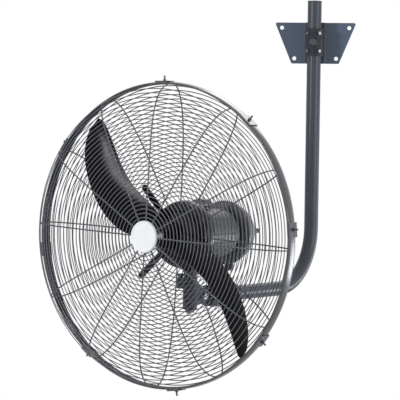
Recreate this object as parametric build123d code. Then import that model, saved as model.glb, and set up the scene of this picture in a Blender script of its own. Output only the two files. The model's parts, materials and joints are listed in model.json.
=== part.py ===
"""Wall-mounted industrial fan: trapezoid wall bracket, J-shaped tube arm, tilting and oscillating head.

Row frame, millimetres: +Z is up, the wall plate's back face lies on Y = 0 and the room is towards -Y.
The arm is drawn pointing straight out of the wall in the ARM frame (origin on the upright tube's axis,
at the plate's mid height) and is then swung sideways as one. The head is drawn in the HEAD frame: its
origin is the centre of the guard, its +Y runs backwards along the shaft, towards the motor.
"""
from build123d import *
from math import cos, hypot, radians, sin, sqrt
import os

os.makedirs("parts", exist_ok=True)

# ---------------------------------------------------------------- driving dimensions (mm, degrees)
# wall plate and the channel that stands the tube off the wall
PLATE_TOP_WIDTH = 223.0
PLATE_BOTTOM_WIDTH = 130.0
PLATE_HEIGHT = 112.0
PLATE_THICKNESS = 5.0
PLATE_CORNER_R = 4.0
ANCHOR_HOLE_R = 5.5
ANCHOR_END_INSET = 14.0         # hole rows from the plate's top and bottom edges
ANCHOR_SIDE_INSET = 13.5        # holes from the plate's slanting sides, measured level
CHANNEL_WIDTH = 54.0
CHANNEL_DEPTH = 15.0
CHANNEL_WALL = 4.0

# tube arm
TUBE_R = 19.0
TUBE_WALL = 2.5
TUBE_OFFSET = 46.0              # upright tube axis from the wall
TUBE_TOP = 110.0                # tube end above the plate's middle
TUBE_DROP = 662.0               # level run's axis below the plate's middle
BEND_R = 160.0
REACH = 560.0                   # upright tube axis to the head's oscillation axis
ARM_SWING = -28.0               # photographed swing about the upright tube
PLUG_SPIGOT = 12.0
PLUG_HEAD = 3.0

# collar on the channel that holds the tube
COLLAR_R = 25.0
COLLAR_HEIGHT = 74.0
COLLAR_PAD_WIDTH = 30.0
SET_SCREW_R = 3.0
SET_SCREW_BOSS_R = 5.5
SET_SCREW_BOSS_RISE = 4.0       # boss face beyond the collar
SET_SCREW_HEAD_R = 5.0
SET_SCREW_HEAD = 4.0
SET_SCREW_ANGLE = 32.0          # either side of straight ahead
SET_SCREW_HEIGHT = 24.0         # rows above and below the collar's middle
LOCK_BOLT_R = 5.0
LOCK_BOSS_R = 11.5
LOCK_BOSS_RISE = 6.0
LOCK_HEAD_R = 10.5
LOCK_HEAD = 7.0

# where things stand along the head, behind the guard's middle plane
PIVOT_BACK = 115.0              # oscillation axis
TILT_BACK = 152.0               # tilt bolt
TUBE_END_BACK = 200.0           # open end of the level tube run
HEAD_RISE = 158.0               # shaft axis above the level tube run

# tilt joint
SOCKET_R = 27.0
SOCKET_LENGTH = 64.0
SOCKET_NOSE = 14.0              # solid end of the socket in front of the tube
SOCKET_SCREW_R = 4.0
SOCKET_SCREW_HEAD_R = 7.5
SOCKET_SCREW_HEAD = 5.0
SOCKET_SCREW_BACKS = (214.0, 238.0)
TONGUE_THICKNESS = 14.0
TONGUE_R = 15.0
TONGUE_ROOT = 25.0              # half the tongue's height where it meets the socket
EAR_THICKNESS = 8.0
EAR_R = 17.0
EAR_DROP = 4.0                  # ears' top edge below the sleeve's top, where they meet it
TILT_BOLT_R = 5.0
TILT_HEAD_R = 9.5
TILT_HEAD = 6.5
TILT_WASHER_R = 11.0
TILT_WASHER = 1.6

# oscillation pivot, lever and link
SLEEVE_R = 18.0
SLEEVE_TOP = 109.0              # below the shaft axis
SLEEVE_LENGTH = 79.0
PIVOT_PIN_R = 8.0
BUSH_WALL = 2.0
BUSH_LENGTH = 18.0
RETAINER_R = 13.0
RETAINER_HEIGHT = 8.0
LEVER_REACH = 30.0              # link pins from their turning axes
LEVER_HEIGHT = 28.0
LEVER_R = 10.0
LINK_PIN_R = 4.0
LINK_EYE_R = 9.0
LINK_WIDTH = 10.0
LINK_THICKNESS = 5.0
LINK_STEP = 2.5                 # height of the collars and heads that keep the link on its pins
CRANK_BACK = 285.0
CRANK_THICKNESS = 6.0
CRANK_LIFT = 3.0                # crank's underside above the link
CRANK_HUB_R = 11.0
CRANK_SHAFT_R = 5.0
CRANK_SHAFT = 22.0              # length inside the gear case's boss

# motor and its foot
BELL_R = 86.0
BELL_LAND_R = 82.0              # outer edge of the flat land in front
BELL_FLARE = 14.0               # length over which the bell widens behind the land
BELL_FRONT = 48.0               # front face of the bearing nose
BELL_RIM_BACK = 98.0
BELL_NOSE_R = 27.0
MOTOR_R = 62.0
MOTOR_WALL = 3.0
MOTOR_FRONT = 102.0
MOTOR_BACK = 236.0
MOTOR_RIB_COUNT = 5             # on each flank
MOTOR_RIB_PITCH = 20.0          # degrees
MOTOR_RIB = 2.5
MOTOR_RIB_RISE = 5.0
RIB_INSET = 6.0                 # ribs stop short of the shell's ends
FOOT_WIDTH = 34.0
FOOT_FRONT = 104.0
FOOT_BACK = 196.0
FOOT_SADDLE_WIDTH = 64.0
FOOT_SADDLE = 8.0
FOOT_BOTTOM = 95.0              # underside of the web, below the shaft axis
FOOT_BOLT_R = 5.0               # head's corners; the shank is half that
FOOT_BOLT_HEAD = 4.0
FOOT_BOLT_OUT = 24.0
FOOT_BOLT_IN = 12.0             # from the saddle's ends
STATOR_FRONT = 124.0
STATOR_BACK = 204.0
ROTOR_R = 38.0
WINDING_LENGTH = 12.0
SHAFT_R = 8.0
SHAFT_FRONT = -14.0
SHAFT_BACK = 262.0
NOSE_WALL = 3.0                 # bell metal in front of a bearing
BEARING_R = 17.5
BEARING_WIDTH = 12.0
CAPACITOR_R = 12.0
CAPACITOR_FRONT = 128.0
CAPACITOR_BACK = 190.0
CLAMP_WALL = 1.5
CLAMP_WIDTH = 16.0
CLAMP_FOOT = 12.0               # strap's feet beyond the capacitor

# gear case and rear cover
GEAR_CASE_R = 52.0
GEAR_CASE_BACK = 312.0
GEAR_FLANGE = 10.0
COVER_R = 82.0
COVER_FRONT = 258.0
COVER_LIP = 9.0
COVER_STEP = 3.0
COVER_SHOULDER_R = 71.0
COVER_SHOULDER_BACK = 296.0
COVER_SLOPE_R = 54.0            # foot of the slope behind the shoulder
COVER_SLOPE_BACK = 320.0
COVER_BACK = 364.0
COVER_BACK_R = 22.0
COVER_WALL = 2.0
KNOB_COLLAR_R = 14.5
KNOB_COLLAR_BACK = 388.0
KNOB_R = 6.5
KNOB_BACK = 417.0
KNOB_STEM_R = 3.5
KNOB_DEPTH = 12.0               # of the stem's guide inside the gear case's post
POST_R = 11.0                   # post on the gear case that carries the cover

# propeller
HUB_R = 34.0
HUB_FRONT = -6.0
HUB_BACK = 36.0
BLADE_COUNT = 2
BLADE_ANGLE = 140.0             # first blade's span line, from the head's +X towards +Z
BLADE_THICKNESS = 3.0
BLADE_CAMBER = 0.07             # arc height over chord
# stations along the span line: distance out, then each edge as offset across it and place along the shaft
BLADE_STATIONS = (
    # out,  front edge: across, back,   rear edge: across, back
    (24.0, 29.0, 0.0, -16.0, 26.0),
    (62.0, 56.0, -9.0, -16.0, 31.0),
    (105.0, 73.0, -14.0, -15.0, 33.0),
    (165.0, 76.0, -14.0, -15.0, 31.0),
    (227.0, 64.0, -9.0, -30.0, 30.0),
    (283.0, 39.0, -4.0, -54.0, 29.0),
    (322.0, 9.0, 1.0, -72.0, 26.0),
    (344.0, -19.0, 7.0, -79.0, 22.0),
    (356.0, -44.0, 12.0, -76.0, 18.0),
)
NUT_R = 12.0
NUT_HEIGHT = 9.0

# guard
BAND_R = 379.0                  # outside of the rim band
BAND_WIDTH = 29.0
BAND_WALL = 2.0
BAND_FLANGE = 6.0
RIM_WIRE = 5.0
RIM_SIDE_COUNT = 36
RIM_PART = 8.0                  # distance between the two guards' rim wires, middle to middle
GUARD_WIRE = 3.2
GUARD_RIB_COUNT = 12
GUARD_RIB_PHASE = -3.0          # first rib, from the head's +X towards +Z
GUARD_PLACES = (0.45, 0.68, 0.82, 0.91, 0.965)  # where a rib bends, as shares of the rim's radius
FRONT_POWER = 8.0               # how square a rib's shoulder is: 2 would be an ellipse
REAR_POWER = 4.0
RING_PITCH = 50.0
RING_SIDE_COUNT = 24            # half as many on rings inside SMALL_RING_R
SMALL_RING_R = 150.0
RING_LIFT = 2.5                 # a ring's middle off the ribs' middle, so the two wires weld
FRONT_RIB_INNER = 22.0
FRONT_RING_R = 47.0             # innermost front ring
REAR_RING_R = 97.0              # innermost rear ring
CAP_R = 39.5
CAP_FRONT = 84.0                # cap's front face, ahead of the middle plane
CAP_DEPTH = 7.0
CAP_DISH = 1.5
CAP_PLATE_R = 33.0
CAP_PLATE = 2.0
MOUNT_RING_FRONT = 66.0
MOUNT_RING = 4.0
MOUNT_RING_WIDTH = 21.0
MOUNT_SCREW_COUNT = 4
MOUNT_SCREW_PHASE = 43.0        # first screw, as the ribs
MOUNT_SCREW_R = 5.5
MOUNT_SCREW = 4.0
STAY_ANGLES = (133.0, 223.0)    # as the ribs: two of the mount screws hold the stays
STAY_REACH = 165.0              # a stay's rounded end from the shaft
STAY_WIDTH = 17.0
STAY = 3.0
CLIP_ANGLES = (4.5, 49.0, 90.5, 144.5, 187.5, 233.0, 277.0, 321.0)     # as the ribs
CLIP_LENGTH = 36.0
CLIP_WALL = 1.5
CLIP_NUT_R = 4.5
CLIP_NUT = 4.0
CLIP_SCREW_R = 2.5
CLIP_SCREW = 13.0

# fits
RUNNING = 0.05                  # radial, shaft in bore
GAP = 0.4                       # between pieces that move past each other
SEAT = 0.2                      # between a curved piece and what it lies on
OVERRUN = 30.0                  # of a cutting bar past a lofted piece
PIN_SIDE_COUNT = 12             # flats on small pins and bores


# ---------------------------------------------------------------- frames and small makers
ARM = Pos(0, -TUBE_OFFSET, 0) * Rot(0, 0, ARM_SWING)
HEAD = ARM * Pos(0, -(REACH + PIVOT_BACK), HEAD_RISE - TUBE_DROP)


def write(name, shape):
    """Write one piece, or one group of like pieces, as its own STEP file."""
    export_step(shape, f"parts/{name}.step")


def along(section, start, end):
    """Bar with the given section from point start to point end."""
    a, b = Vector(*start), Vector(*end)
    plane = Plane(origin=a, z_dir=(b - a).normalized())
    return extrude(plane * section, amount=(b - a).length)


def rod(r, start, end):
    """Round bar of radius r."""
    return along(Circle(r), start, end)


def pin(r, start, end):
    """Small pin as a prism whose corners lie on radius r."""
    return along(RegularPolygon(r, PIN_SIDE_COUNT), start, end)


def bore(r, start, end):
    """Small bore as a prism whose flats lie on radius r, so a pin of that radius turns in it."""
    return along(RegularPolygon(r, PIN_SIDE_COUNT, major_radius=False), start, end)


def hexagon(r, start, end):
    """Hexagon bar, r to its corners."""
    return along(RegularPolygon(r, 6), start, end)


def turned(*profile):
    """Solid turned about the shaft axis (Y) from (radius, back) points."""
    return revolve(make_face(Polyline(*profile, close=True)), Axis.Y)


def block(x0, x1, y0, y1, z0, z1):
    """Box between two corners."""
    return Pos((x0 + x1) / 2, (y0 + y1) / 2, (z0 + z1) / 2) * Box(x1 - x0, y1 - y0, z1 - z0)


def web(x0, x1, *outline):
    """Upright plate between two places across, its outline given as (back, height) points."""
    return Pos(x0, 0, 0) * extrude(Plane.YZ * make_face(Polyline(*outline, close=True)), x1 - x0)


def at_angles(shape, angles):
    """Copies of a shape turned about the shaft axis; angles run from +X towards +Z."""
    return [Rot(0, -angle, 0) * shape for angle in angles]


def about_shaft(shape, count, phase=0.0):
    """Copies of a shape, evenly round the shaft axis."""
    return at_angles(shape, [phase + 360.0 * k / count for k in range(count)])


def stack(r_in, r_out, sides, front, back):
    """Many-sided sleeve about the shaft axis, for the laminated and wound pieces inside the motor."""
    section = RegularPolygon(r_out, sides) - RegularPolygon(r_in, sides, major_radius=False)
    return along(section, (0, front, 0), (0, back, 0))


# ---------------------------------------------------------------- wall bracket
CHANNEL_FRONT = -PLATE_THICKNESS - CHANNEL_DEPTH
SET_SCREW_FACE = COLLAR_R + SET_SCREW_BOSS_RISE
LOCK_FACE = COLLAR_R + LOCK_BOSS_RISE
LOCK_SPOT = (0.0, -1.0, 0.0)
SET_SCREW_SPOTS = [
    (sin(radians(angle)), -cos(radians(angle)), z)
    for angle in (-SET_SCREW_ANGLE, SET_SCREW_ANGLE) for z in (-SET_SCREW_HEIGHT, SET_SCREW_HEIGHT)]


def wall_plate():
    """Trapezoid plate, wide edge up, with a row of two anchor holes near each edge."""
    top, bottom, half = PLATE_TOP_WIDTH / 2, PLATE_BOTTOM_WIDTH / 2, PLATE_HEIGHT / 2
    row = half - ANCHOR_END_INSET
    outline = Polyline((-bottom, -half), (bottom, -half), (top, half), (-top, half), close=True)
    plate = extrude(Plane.XZ * make_face(outline), PLATE_THICKNESS)
    plate = fillet(plate.edges().filter_by(Axis.Y), PLATE_CORNER_R)
    for z in (-row, row):
        side = bottom + (top - bottom) * (z + half) / PLATE_HEIGHT
        for x in (ANCHOR_SIDE_INSET - side, side - ANCHOR_SIDE_INSET):
            plate -= rod(ANCHOR_HOLE_R, (x, 1, z), (x, -PLATE_THICKNESS - 1, z))
    return plate


def saddle_channel():
    """Upright channel welded to the plate by the edges of its two legs."""
    half, inner = CHANNEL_WIDTH / 2, CHANNEL_WIDTH / 2 - CHANNEL_WALL
    tall = PLATE_HEIGHT / 2
    solid = block(-half, half, CHANNEL_FRONT, -PLATE_THICKNESS, -tall, tall)
    hollow = block(-inner, inner, CHANNEL_FRONT + CHANNEL_WALL, 0, -tall - 1, tall + 1)
    return solid - hollow


def outwards(maker, r, start, end, spot):
    """Bar that points out of the upright tube's axis: spot is its direction and its height."""
    x, y, z = spot
    return maker(r, (x * start, y * start - TUBE_OFFSET, z), (x * end, y * end - TUBE_OFFSET, z))


def pole_collar():
    """Cast collar round the tube: a flat pad at the back, a lock boss in front, four screw bosses."""
    half = COLLAR_HEIGHT / 2
    body = rod(COLLAR_R, (0, -TUBE_OFFSET, -half), (0, -TUBE_OFFSET, half))
    body += block(-COLLAR_PAD_WIDTH / 2, COLLAR_PAD_WIDTH / 2, -TUBE_OFFSET, CHANNEL_FRONT, -half, half)
    body += outwards(rod, LOCK_BOSS_R, 0, LOCK_FACE, LOCK_SPOT)
    for spot in SET_SCREW_SPOTS:
        body += outwards(hexagon, SET_SCREW_BOSS_R, 0, SET_SCREW_FACE, spot)
    body -= rod(TUBE_R + RUNNING, (0, -TUBE_OFFSET, -half - 1), (0, -TUBE_OFFSET, half + 1))
    body -= outwards(bore, LOCK_BOLT_R, 0, LOCK_FACE + 1, LOCK_SPOT)
    for spot in SET_SCREW_SPOTS:
        body -= outwards(hexagon, SET_SCREW_R, 0, SET_SCREW_FACE + 1, spot)
    return body


def collar_screw(shank, r, head_r, face, head, spot):
    """Hexagon-headed screw seated on a boss face, its tip just short of the tube."""
    return outwards(shank, r, TUBE_R + GAP, face, spot) + outwards(hexagon, head_r, face, face + head, spot)


write("wall_plate", wall_plate())
write("saddle_channel", saddle_channel())
write("pole_collar", pole_collar())
write("collar_set_screws", Compound([
    collar_screw(hexagon, SET_SCREW_R, SET_SCREW_HEAD_R, SET_SCREW_FACE, SET_SCREW_HEAD, spot)
    for spot in SET_SCREW_SPOTS]))
write("lock_bolt", collar_screw(pin, LOCK_BOLT_R, LOCK_HEAD_R, LOCK_FACE, LOCK_HEAD, LOCK_SPOT))


# ---------------------------------------------------------------- arm
LEVEL = -HEAD_RISE                                   # level tube run below the shaft axis, HEAD frame
SOCKET_FRONT = TUBE_END_BACK - SOCKET_NOSE
SOCKET_BACK = SOCKET_FRONT + SOCKET_LENGTH
SOCKET_SCREW_FACE = LEVEL - SOCKET_R + 2             # flats milled on the socket's underside


def arm_tube():
    """One bent tube: upright run, quarter bend, level run towards the room. Its bore has flat sides."""
    low, end = BEND_R - TUBE_DROP, TUBE_END_BACK - PIVOT_BACK - REACH
    middle = BEND_R * (1 - cos(radians(45)))
    path = Polyline((0, 0, TUBE_TOP), (0, 0, low))
    path += ThreePointArc((0, 0, low), (0, -middle, middle - TUBE_DROP), (0, -BEND_R, -TUBE_DROP))
    path += Line((0, -BEND_R, -TUBE_DROP), (0, end, -TUBE_DROP))
    wall = Circle(TUBE_R) - RegularPolygon(TUBE_R - TUBE_WALL, PIN_SIDE_COUNT, major_radius=False)
    return sweep(Plane(origin=(0, 0, TUBE_TOP), z_dir=(0, 0, -1)) * wall, path=path)


def tube_end_plug():
    """Plastic plug with a spigot that closes the tube's upper end."""
    spigot = pin(TUBE_R - TUBE_WALL - RUNNING, (0, 0, TUBE_TOP - PLUG_SPIGOT), (0, 0, TUBE_TOP))
    return spigot + rod(TUBE_R, (0, 0, TUBE_TOP), (0, 0, TUBE_TOP + PLUG_HEAD))


def tilt_socket():
    """Casting on the tube's end: a bored socket behind, a rounded tongue in front for the tilt bolt."""
    half = TONGUE_THICKNESS / 2
    body = rod(SOCKET_R, (0, SOCKET_FRONT, LEVEL), (0, SOCKET_BACK, LEVEL))
    body += web(
        -half, half, (TILT_BACK, LEVEL - TONGUE_R), (SOCKET_FRONT + 1, LEVEL - TONGUE_ROOT),
        (SOCKET_FRONT + 1, LEVEL + TONGUE_ROOT), (TILT_BACK, LEVEL + TONGUE_R))
    body += rod(TONGUE_R, (-half, TILT_BACK, LEVEL), (half, TILT_BACK, LEVEL))
    body -= rod(TUBE_R + RUNNING, (0, TUBE_END_BACK, LEVEL), (0, SOCKET_BACK + 1, LEVEL))
    body -= bore(TILT_BOLT_R + RUNNING, (-half - 1, TILT_BACK, LEVEL), (half + 1, TILT_BACK, LEVEL))
    wide = SOCKET_SCREW_HEAD_R + 2
    for back in SOCKET_SCREW_BACKS:
        body -= bore(SOCKET_SCREW_R, (0, back, LEVEL), (0, back, LEVEL - SOCKET_R - 1))
        body -= block(-wide, wide, back - wide, back + wide, LEVEL - SOCKET_R - 1, SOCKET_SCREW_FACE)
    return body


def socket_screw(back):
    """Screw up through the socket's underside on to the tube."""
    face = SOCKET_SCREW_FACE
    shank = pin(SOCKET_SCREW_R, (0, back, LEVEL - TUBE_R - GAP), (0, back, face))
    return shank + hexagon(SOCKET_SCREW_HEAD_R, (0, back, face), (0, back, face - SOCKET_SCREW_HEAD))


write("arm_tube", ARM * arm_tube())
write("tube_end_plug", ARM * tube_end_plug())
write("tilt_socket", HEAD * tilt_socket())
write("socket_screws", HEAD * Compound([socket_screw(back) for back in SOCKET_SCREW_BACKS]))


# ---------------------------------------------------------------- neck: tilts on the socket's tongue
SLEEVE_BOTTOM = SLEEVE_TOP + SLEEVE_LENGTH
EAR_IN = TONGUE_THICKNESS / 2 + GAP
EAR_OUT = EAR_IN + EAR_THICKNESS
LEVER_BOTTOM = -SLEEVE_TOP - LEVER_HEIGHT
LINK_BOTTOM = -SLEEVE_TOP + LINK_STEP + GAP          # the link rides just above the lever pin's collar
LINK_TOP = LINK_BOTTOM + LINK_THICKNESS
BUSH_R = PIVOT_PIN_R + RUNNING + BUSH_WALL


def tilt_yoke():
    """Casting with two ears on the tilt bolt, the upright pivot sleeve and a side lever for the link."""
    body = rod(SLEEVE_R, (0, PIVOT_BACK, -SLEEVE_BOTTOM), (0, PIVOT_BACK, -SLEEVE_TOP))
    for side in (-1, 1):
        inner, outer = sorted((side * EAR_IN, side * EAR_OUT))
        body += web(
            inner, outer, (PIVOT_BACK, LEVEL - EAR_R), (TILT_BACK, LEVEL - EAR_R),
            (TILT_BACK, LEVEL + EAR_R), (PIVOT_BACK, -SLEEVE_TOP - EAR_DROP))
        body += rod(EAR_R, (inner, TILT_BACK, LEVEL), (outer, TILT_BACK, LEVEL))
    low, high = (-LEVER_REACH, PIVOT_BACK, LEVER_BOTTOM), (-LEVER_REACH, PIVOT_BACK, -SLEEVE_TOP)
    body += block(-LEVER_REACH, 0, PIVOT_BACK - LEVER_R, PIVOT_BACK + LEVER_R, LEVER_BOTTOM, -SLEEVE_TOP)
    body += rod(LEVER_R, low, high)
    body -= bore(BUSH_R, (0, PIVOT_BACK, -SLEEVE_BOTTOM - 1), (0, PIVOT_BACK, -SLEEVE_TOP + 1))
    body -= bore(LINK_PIN_R, low, high)
    body -= bore(TILT_BOLT_R, (-EAR_OUT - 1, TILT_BACK, LEVEL), (EAR_OUT + 1, TILT_BACK, LEVEL))
    return body


def tilt_bolt():
    """Bolt through both ears and the tongue, head on the near side."""
    head = EAR_OUT + TILT_WASHER
    shank = pin(TILT_BOLT_R, (head, TILT_BACK, LEVEL), (-head - TILT_HEAD - 3, TILT_BACK, LEVEL))
    return shank + hexagon(TILT_HEAD_R, (head, TILT_BACK, LEVEL), (head + TILT_HEAD, TILT_BACK, LEVEL))


def tilt_nut():
    """Nut on the far side of the tilt bolt."""
    face = -EAR_OUT - TILT_WASHER
    nut = hexagon(TILT_HEAD_R, (face, TILT_BACK, LEVEL), (face - TILT_HEAD, TILT_BACK, LEVEL))
    return nut - bore(TILT_BOLT_R, (0, TILT_BACK, LEVEL), (face - TILT_HEAD - 1, TILT_BACK, LEVEL))


def tilt_washer(side):
    """Washer between an ear and the bolt's head or nut."""
    near, far = side * EAR_OUT, side * (EAR_OUT + TILT_WASHER)
    washer = pin(TILT_WASHER_R, (near, TILT_BACK, LEVEL), (far, TILT_BACK, LEVEL))
    return washer - bore(TILT_BOLT_R, (0, TILT_BACK, LEVEL), (2 * far, TILT_BACK, LEVEL))


def pivot_bush(top):
    """Bronze bush pressed into one end of the pivot sleeve."""
    bottom = top - BUSH_LENGTH
    bush = pin(BUSH_R, (0, PIVOT_BACK, top), (0, PIVOT_BACK, bottom))
    return bush - bore(PIVOT_PIN_R + RUNNING, (0, PIVOT_BACK, top + 1), (0, PIVOT_BACK, bottom - 1))


def lever_pin():
    """Pin in the side lever, with a low collar that the link's eye rides on."""
    x, back, low = -LEVER_REACH, PIVOT_BACK, -SLEEVE_TOP
    shank = pin(LINK_PIN_R, (x, back, LEVER_BOTTOM), (x, back, LINK_TOP + GAP))
    return shank + pin(LINK_PIN_R + LINK_STEP, (x, back, low), (x, back, low + LINK_STEP))


write("tilt_yoke", HEAD * tilt_yoke())
write("tilt_bolt", HEAD * tilt_bolt())
write("tilt_nut", HEAD * tilt_nut())
write("tilt_washers", HEAD * Compound([tilt_washer(-1), tilt_washer(1)]))
write("pivot_bushes", HEAD * Compound([
    pivot_bush(-SLEEVE_TOP), pivot_bush(-SLEEVE_BOTTOM + BUSH_LENGTH)]))
write("lever_pin", HEAD * lever_pin())


# ---------------------------------------------------------------- head: pivot, foot and motor
FOOT_FLANGE = -MOTOR_R - FOOT_SADDLE
FOOT_BOLT_SPOTS = [
    (side * FOOT_BOLT_OUT, back) for side in (-1, 1)
    for back in (FOOT_FRONT + FOOT_BOLT_IN, FOOT_BACK - FOOT_BOLT_IN)]
PIN_TOP = -FOOT_BOTTOM + 10
BELL_LAND = MOUNT_RING_FRONT + MOUNT_RING
MOUNT_RING_R = BELL_LAND_R - 1
FRONT_BEARING = BELL_FRONT + NOSE_WALL
REAR_BEARING = MOTOR_BACK + NOSE_WALL
CAPACITOR_UP = MOTOR_R + CAPACITOR_R + CLAMP_WALL
CRANK_BOTTOM = LINK_TOP + CRANK_LIFT
CRANK_TOP = CRANK_BOTTOM + CRANK_THICKNESS
COVER_EDGE = COVER_R - COVER_STEP


def pivot_pin():
    """Upright pin pressed into the foot's boss, down through the sleeve's bushes."""
    bottom = -SLEEVE_BOTTOM - GAP - RETAINER_HEIGHT - 4
    return pin(PIVOT_PIN_R, (0, PIVOT_BACK, PIN_TOP), (0, PIVOT_BACK, bottom))


def pin_retainer():
    """Collar nut that keeps the pin in the sleeve."""
    top = -SLEEVE_BOTTOM - GAP
    nut = hexagon(RETAINER_R, (0, PIVOT_BACK, top), (0, PIVOT_BACK, top - RETAINER_HEIGHT))
    return nut - bore(PIVOT_PIN_R, (0, PIVOT_BACK, top + 1), (0, PIVOT_BACK, top - RETAINER_HEIGHT - 1))


def motor_foot():
    """Casting under the motor: saddle plate, tapering web and the boss that holds the pivot pin."""
    wide, narrow = FOOT_SADDLE_WIDTH / 2, FOOT_WIDTH / 2
    body = block(-wide, wide, FOOT_FRONT, FOOT_BACK, FOOT_FLANGE, -MOTOR_R * 0.75)
    body += web(
        -narrow, narrow, (FOOT_FRONT, -FOOT_BOTTOM), (PIVOT_BACK + FOOT_WIDTH, -FOOT_BOTTOM),
        (FOOT_BACK, FOOT_FLANGE + 1), (FOOT_FRONT, FOOT_FLANGE + 1))
    body += rod(SLEEVE_R - 1.5, (0, PIVOT_BACK, -SLEEVE_TOP + GAP), (0, PIVOT_BACK, -FOOT_BOTTOM + 2))
    body -= rod(MOTOR_R + SEAT, (0, FOOT_FRONT - 1, 0), (0, FOOT_BACK + 1, 0))
    body -= bore(PIVOT_PIN_R, (0, PIVOT_BACK, -SLEEVE_TOP - 1), (0, PIVOT_BACK, PIN_TOP))
    for x, back in FOOT_BOLT_SPOTS:
        body -= hexagon(FOOT_BOLT_R / 2, (x, back, FOOT_FLANGE - 1), (x, back, 0))
    return body


def foot_bolt(x, back):
    """Bolt up through the saddle, stopping just short of the motor shell."""
    top = -sqrt(MOTOR_R ** 2 - (abs(x) - FOOT_BOLT_R / 2) ** 2) - 2 * GAP
    shank = hexagon(FOOT_BOLT_R / 2, (x, back, top), (x, back, FOOT_FLANGE))
    return shank + hexagon(FOOT_BOLT_R, (x, back, FOOT_FLANGE), (x, back, FOOT_FLANGE - FOOT_BOLT_HEAD))


def front_bell():
    """Domed front bell with the bearing nose and the flat land that the mount ring bolts to."""
    shaft, pocket = SHAFT_R + 1.5, BEARING_R + RUNNING
    inner, behind = MOTOR_R - MOTOR_WALL, FRONT_BEARING + BEARING_WIDTH
    land = MOUNT_RING_R - MOUNT_RING_WIDTH
    return turned(
        (shaft, BELL_FRONT), (BELL_NOSE_R, BELL_FRONT), (land - 3, BELL_LAND - 6), (land, BELL_LAND),
        (BELL_LAND_R, BELL_LAND), (BELL_R, BELL_LAND + BELL_FLARE), (BELL_R, BELL_RIM_BACK),
        (MOTOR_R, MOTOR_FRONT), (inner, MOTOR_FRONT),
        (pocket, behind), (pocket, FRONT_BEARING), (shaft, FRONT_BEARING))


def motor_shell():
    """Stator shell with cooling ribs along its flanks; the saddle and the capacitor sit between them."""
    shell = rod(MOTOR_R, (0, MOTOR_FRONT, 0), (0, MOTOR_BACK, 0))
    front, back = MOTOR_FRONT + RIB_INSET, MOTOR_BACK - RIB_INSET
    rib = block(MOTOR_R - 1, MOTOR_R + MOTOR_RIB_RISE, front, back, -MOTOR_RIB / 2, MOTOR_RIB / 2)
    for flank in (0, 180):
        first = flank - MOTOR_RIB_PITCH * (MOTOR_RIB_COUNT - 1) / 2
        for fin in at_angles(rib, [first + MOTOR_RIB_PITCH * k for k in range(MOTOR_RIB_COUNT)]):
            shell += fin
    return shell - rod(MOTOR_R - MOTOR_WALL, (0, MOTOR_FRONT - 1, 0), (0, MOTOR_BACK + 1, 0))


def stator_core():
    """Laminated stack inside the shell."""
    return stack(ROTOR_R + 2, MOTOR_R - MOTOR_WALL, 24, STATOR_FRONT, STATOR_BACK)


def winding(front):
    """End turns at one end of the stack."""
    return stack(ROTOR_R + 4, MOTOR_R - MOTOR_WALL - 4, 18, front, front + WINDING_LENGTH)


def bearing(front):
    """Ball bearing, drawn as one closed ring."""
    return stack(SHAFT_R + RUNNING, BEARING_R, 18, front, front + BEARING_WIDTH)


def capacitor():
    """Run capacitor lying along the top of the motor."""
    return rod(CAPACITOR_R, (0, CAPACITOR_FRONT, CAPACITOR_UP), (0, CAPACITOR_BACK, CAPACITOR_UP))


def capacitor_clamp():
    """Strap over the capacitor with a foot on the motor shell each side."""
    middle, half = (CAPACITOR_FRONT + CAPACITOR_BACK) / 2, CLAMP_WIDTH / 2
    reach = CAPACITOR_R + CLAMP_FOOT
    ends = (0, middle - half, CAPACITOR_UP), (0, middle + half, CAPACITOR_UP)
    strap = along(RegularPolygon(CAPACITOR_R + CLAMP_WALL, 24), *ends)
    strap += block(-reach, reach, middle - half, middle + half, MOTOR_R - CLAMP_FOOT, MOTOR_R + CLAMP_WALL)
    strap -= along(RegularPolygon(CAPACITOR_R, 24, major_radius=False), *ends)
    return strap - rod(MOTOR_R, (0, middle - half, 0), (0, middle + half, 0))


def gear_case():
    """Rear bell and oscillation gear case in one casting, a crank boss below and the cover's post behind."""
    pocket, neck = BEARING_R + RUNNING, GEAR_CASE_R - 14
    flange = MOTOR_BACK + GEAR_FLANGE
    body = turned(
        (0, SHAFT_BACK + 4), (pocket, SHAFT_BACK + 4), (pocket, MOTOR_BACK), (MOTOR_R, MOTOR_BACK),
        (MOTOR_R, flange), (GEAR_CASE_R, flange + 6), (GEAR_CASE_R, GEAR_CASE_BACK - 12),
        (neck, GEAR_CASE_BACK), (0, GEAR_CASE_BACK))
    body += pin(POST_R, (0, GEAR_CASE_BACK - 1, 0), (0, COVER_BACK - COVER_WALL, 0))
    body += pin(CRANK_HUB_R + 1, (0, CRANK_BACK, -GEAR_CASE_R + 8), (0, CRANK_BACK, CRANK_TOP + GAP))
    body -= bore(KNOB_STEM_R + RUNNING, (0, COVER_BACK - 2 * KNOB_DEPTH, 0), (0, COVER_BACK, 0))
    shaft = (0, CRANK_BACK, CRANK_TOP + CRANK_SHAFT + 2), (0, CRANK_BACK, CRANK_TOP)
    return body - bore(CRANK_SHAFT_R + RUNNING, *shaft)


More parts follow.
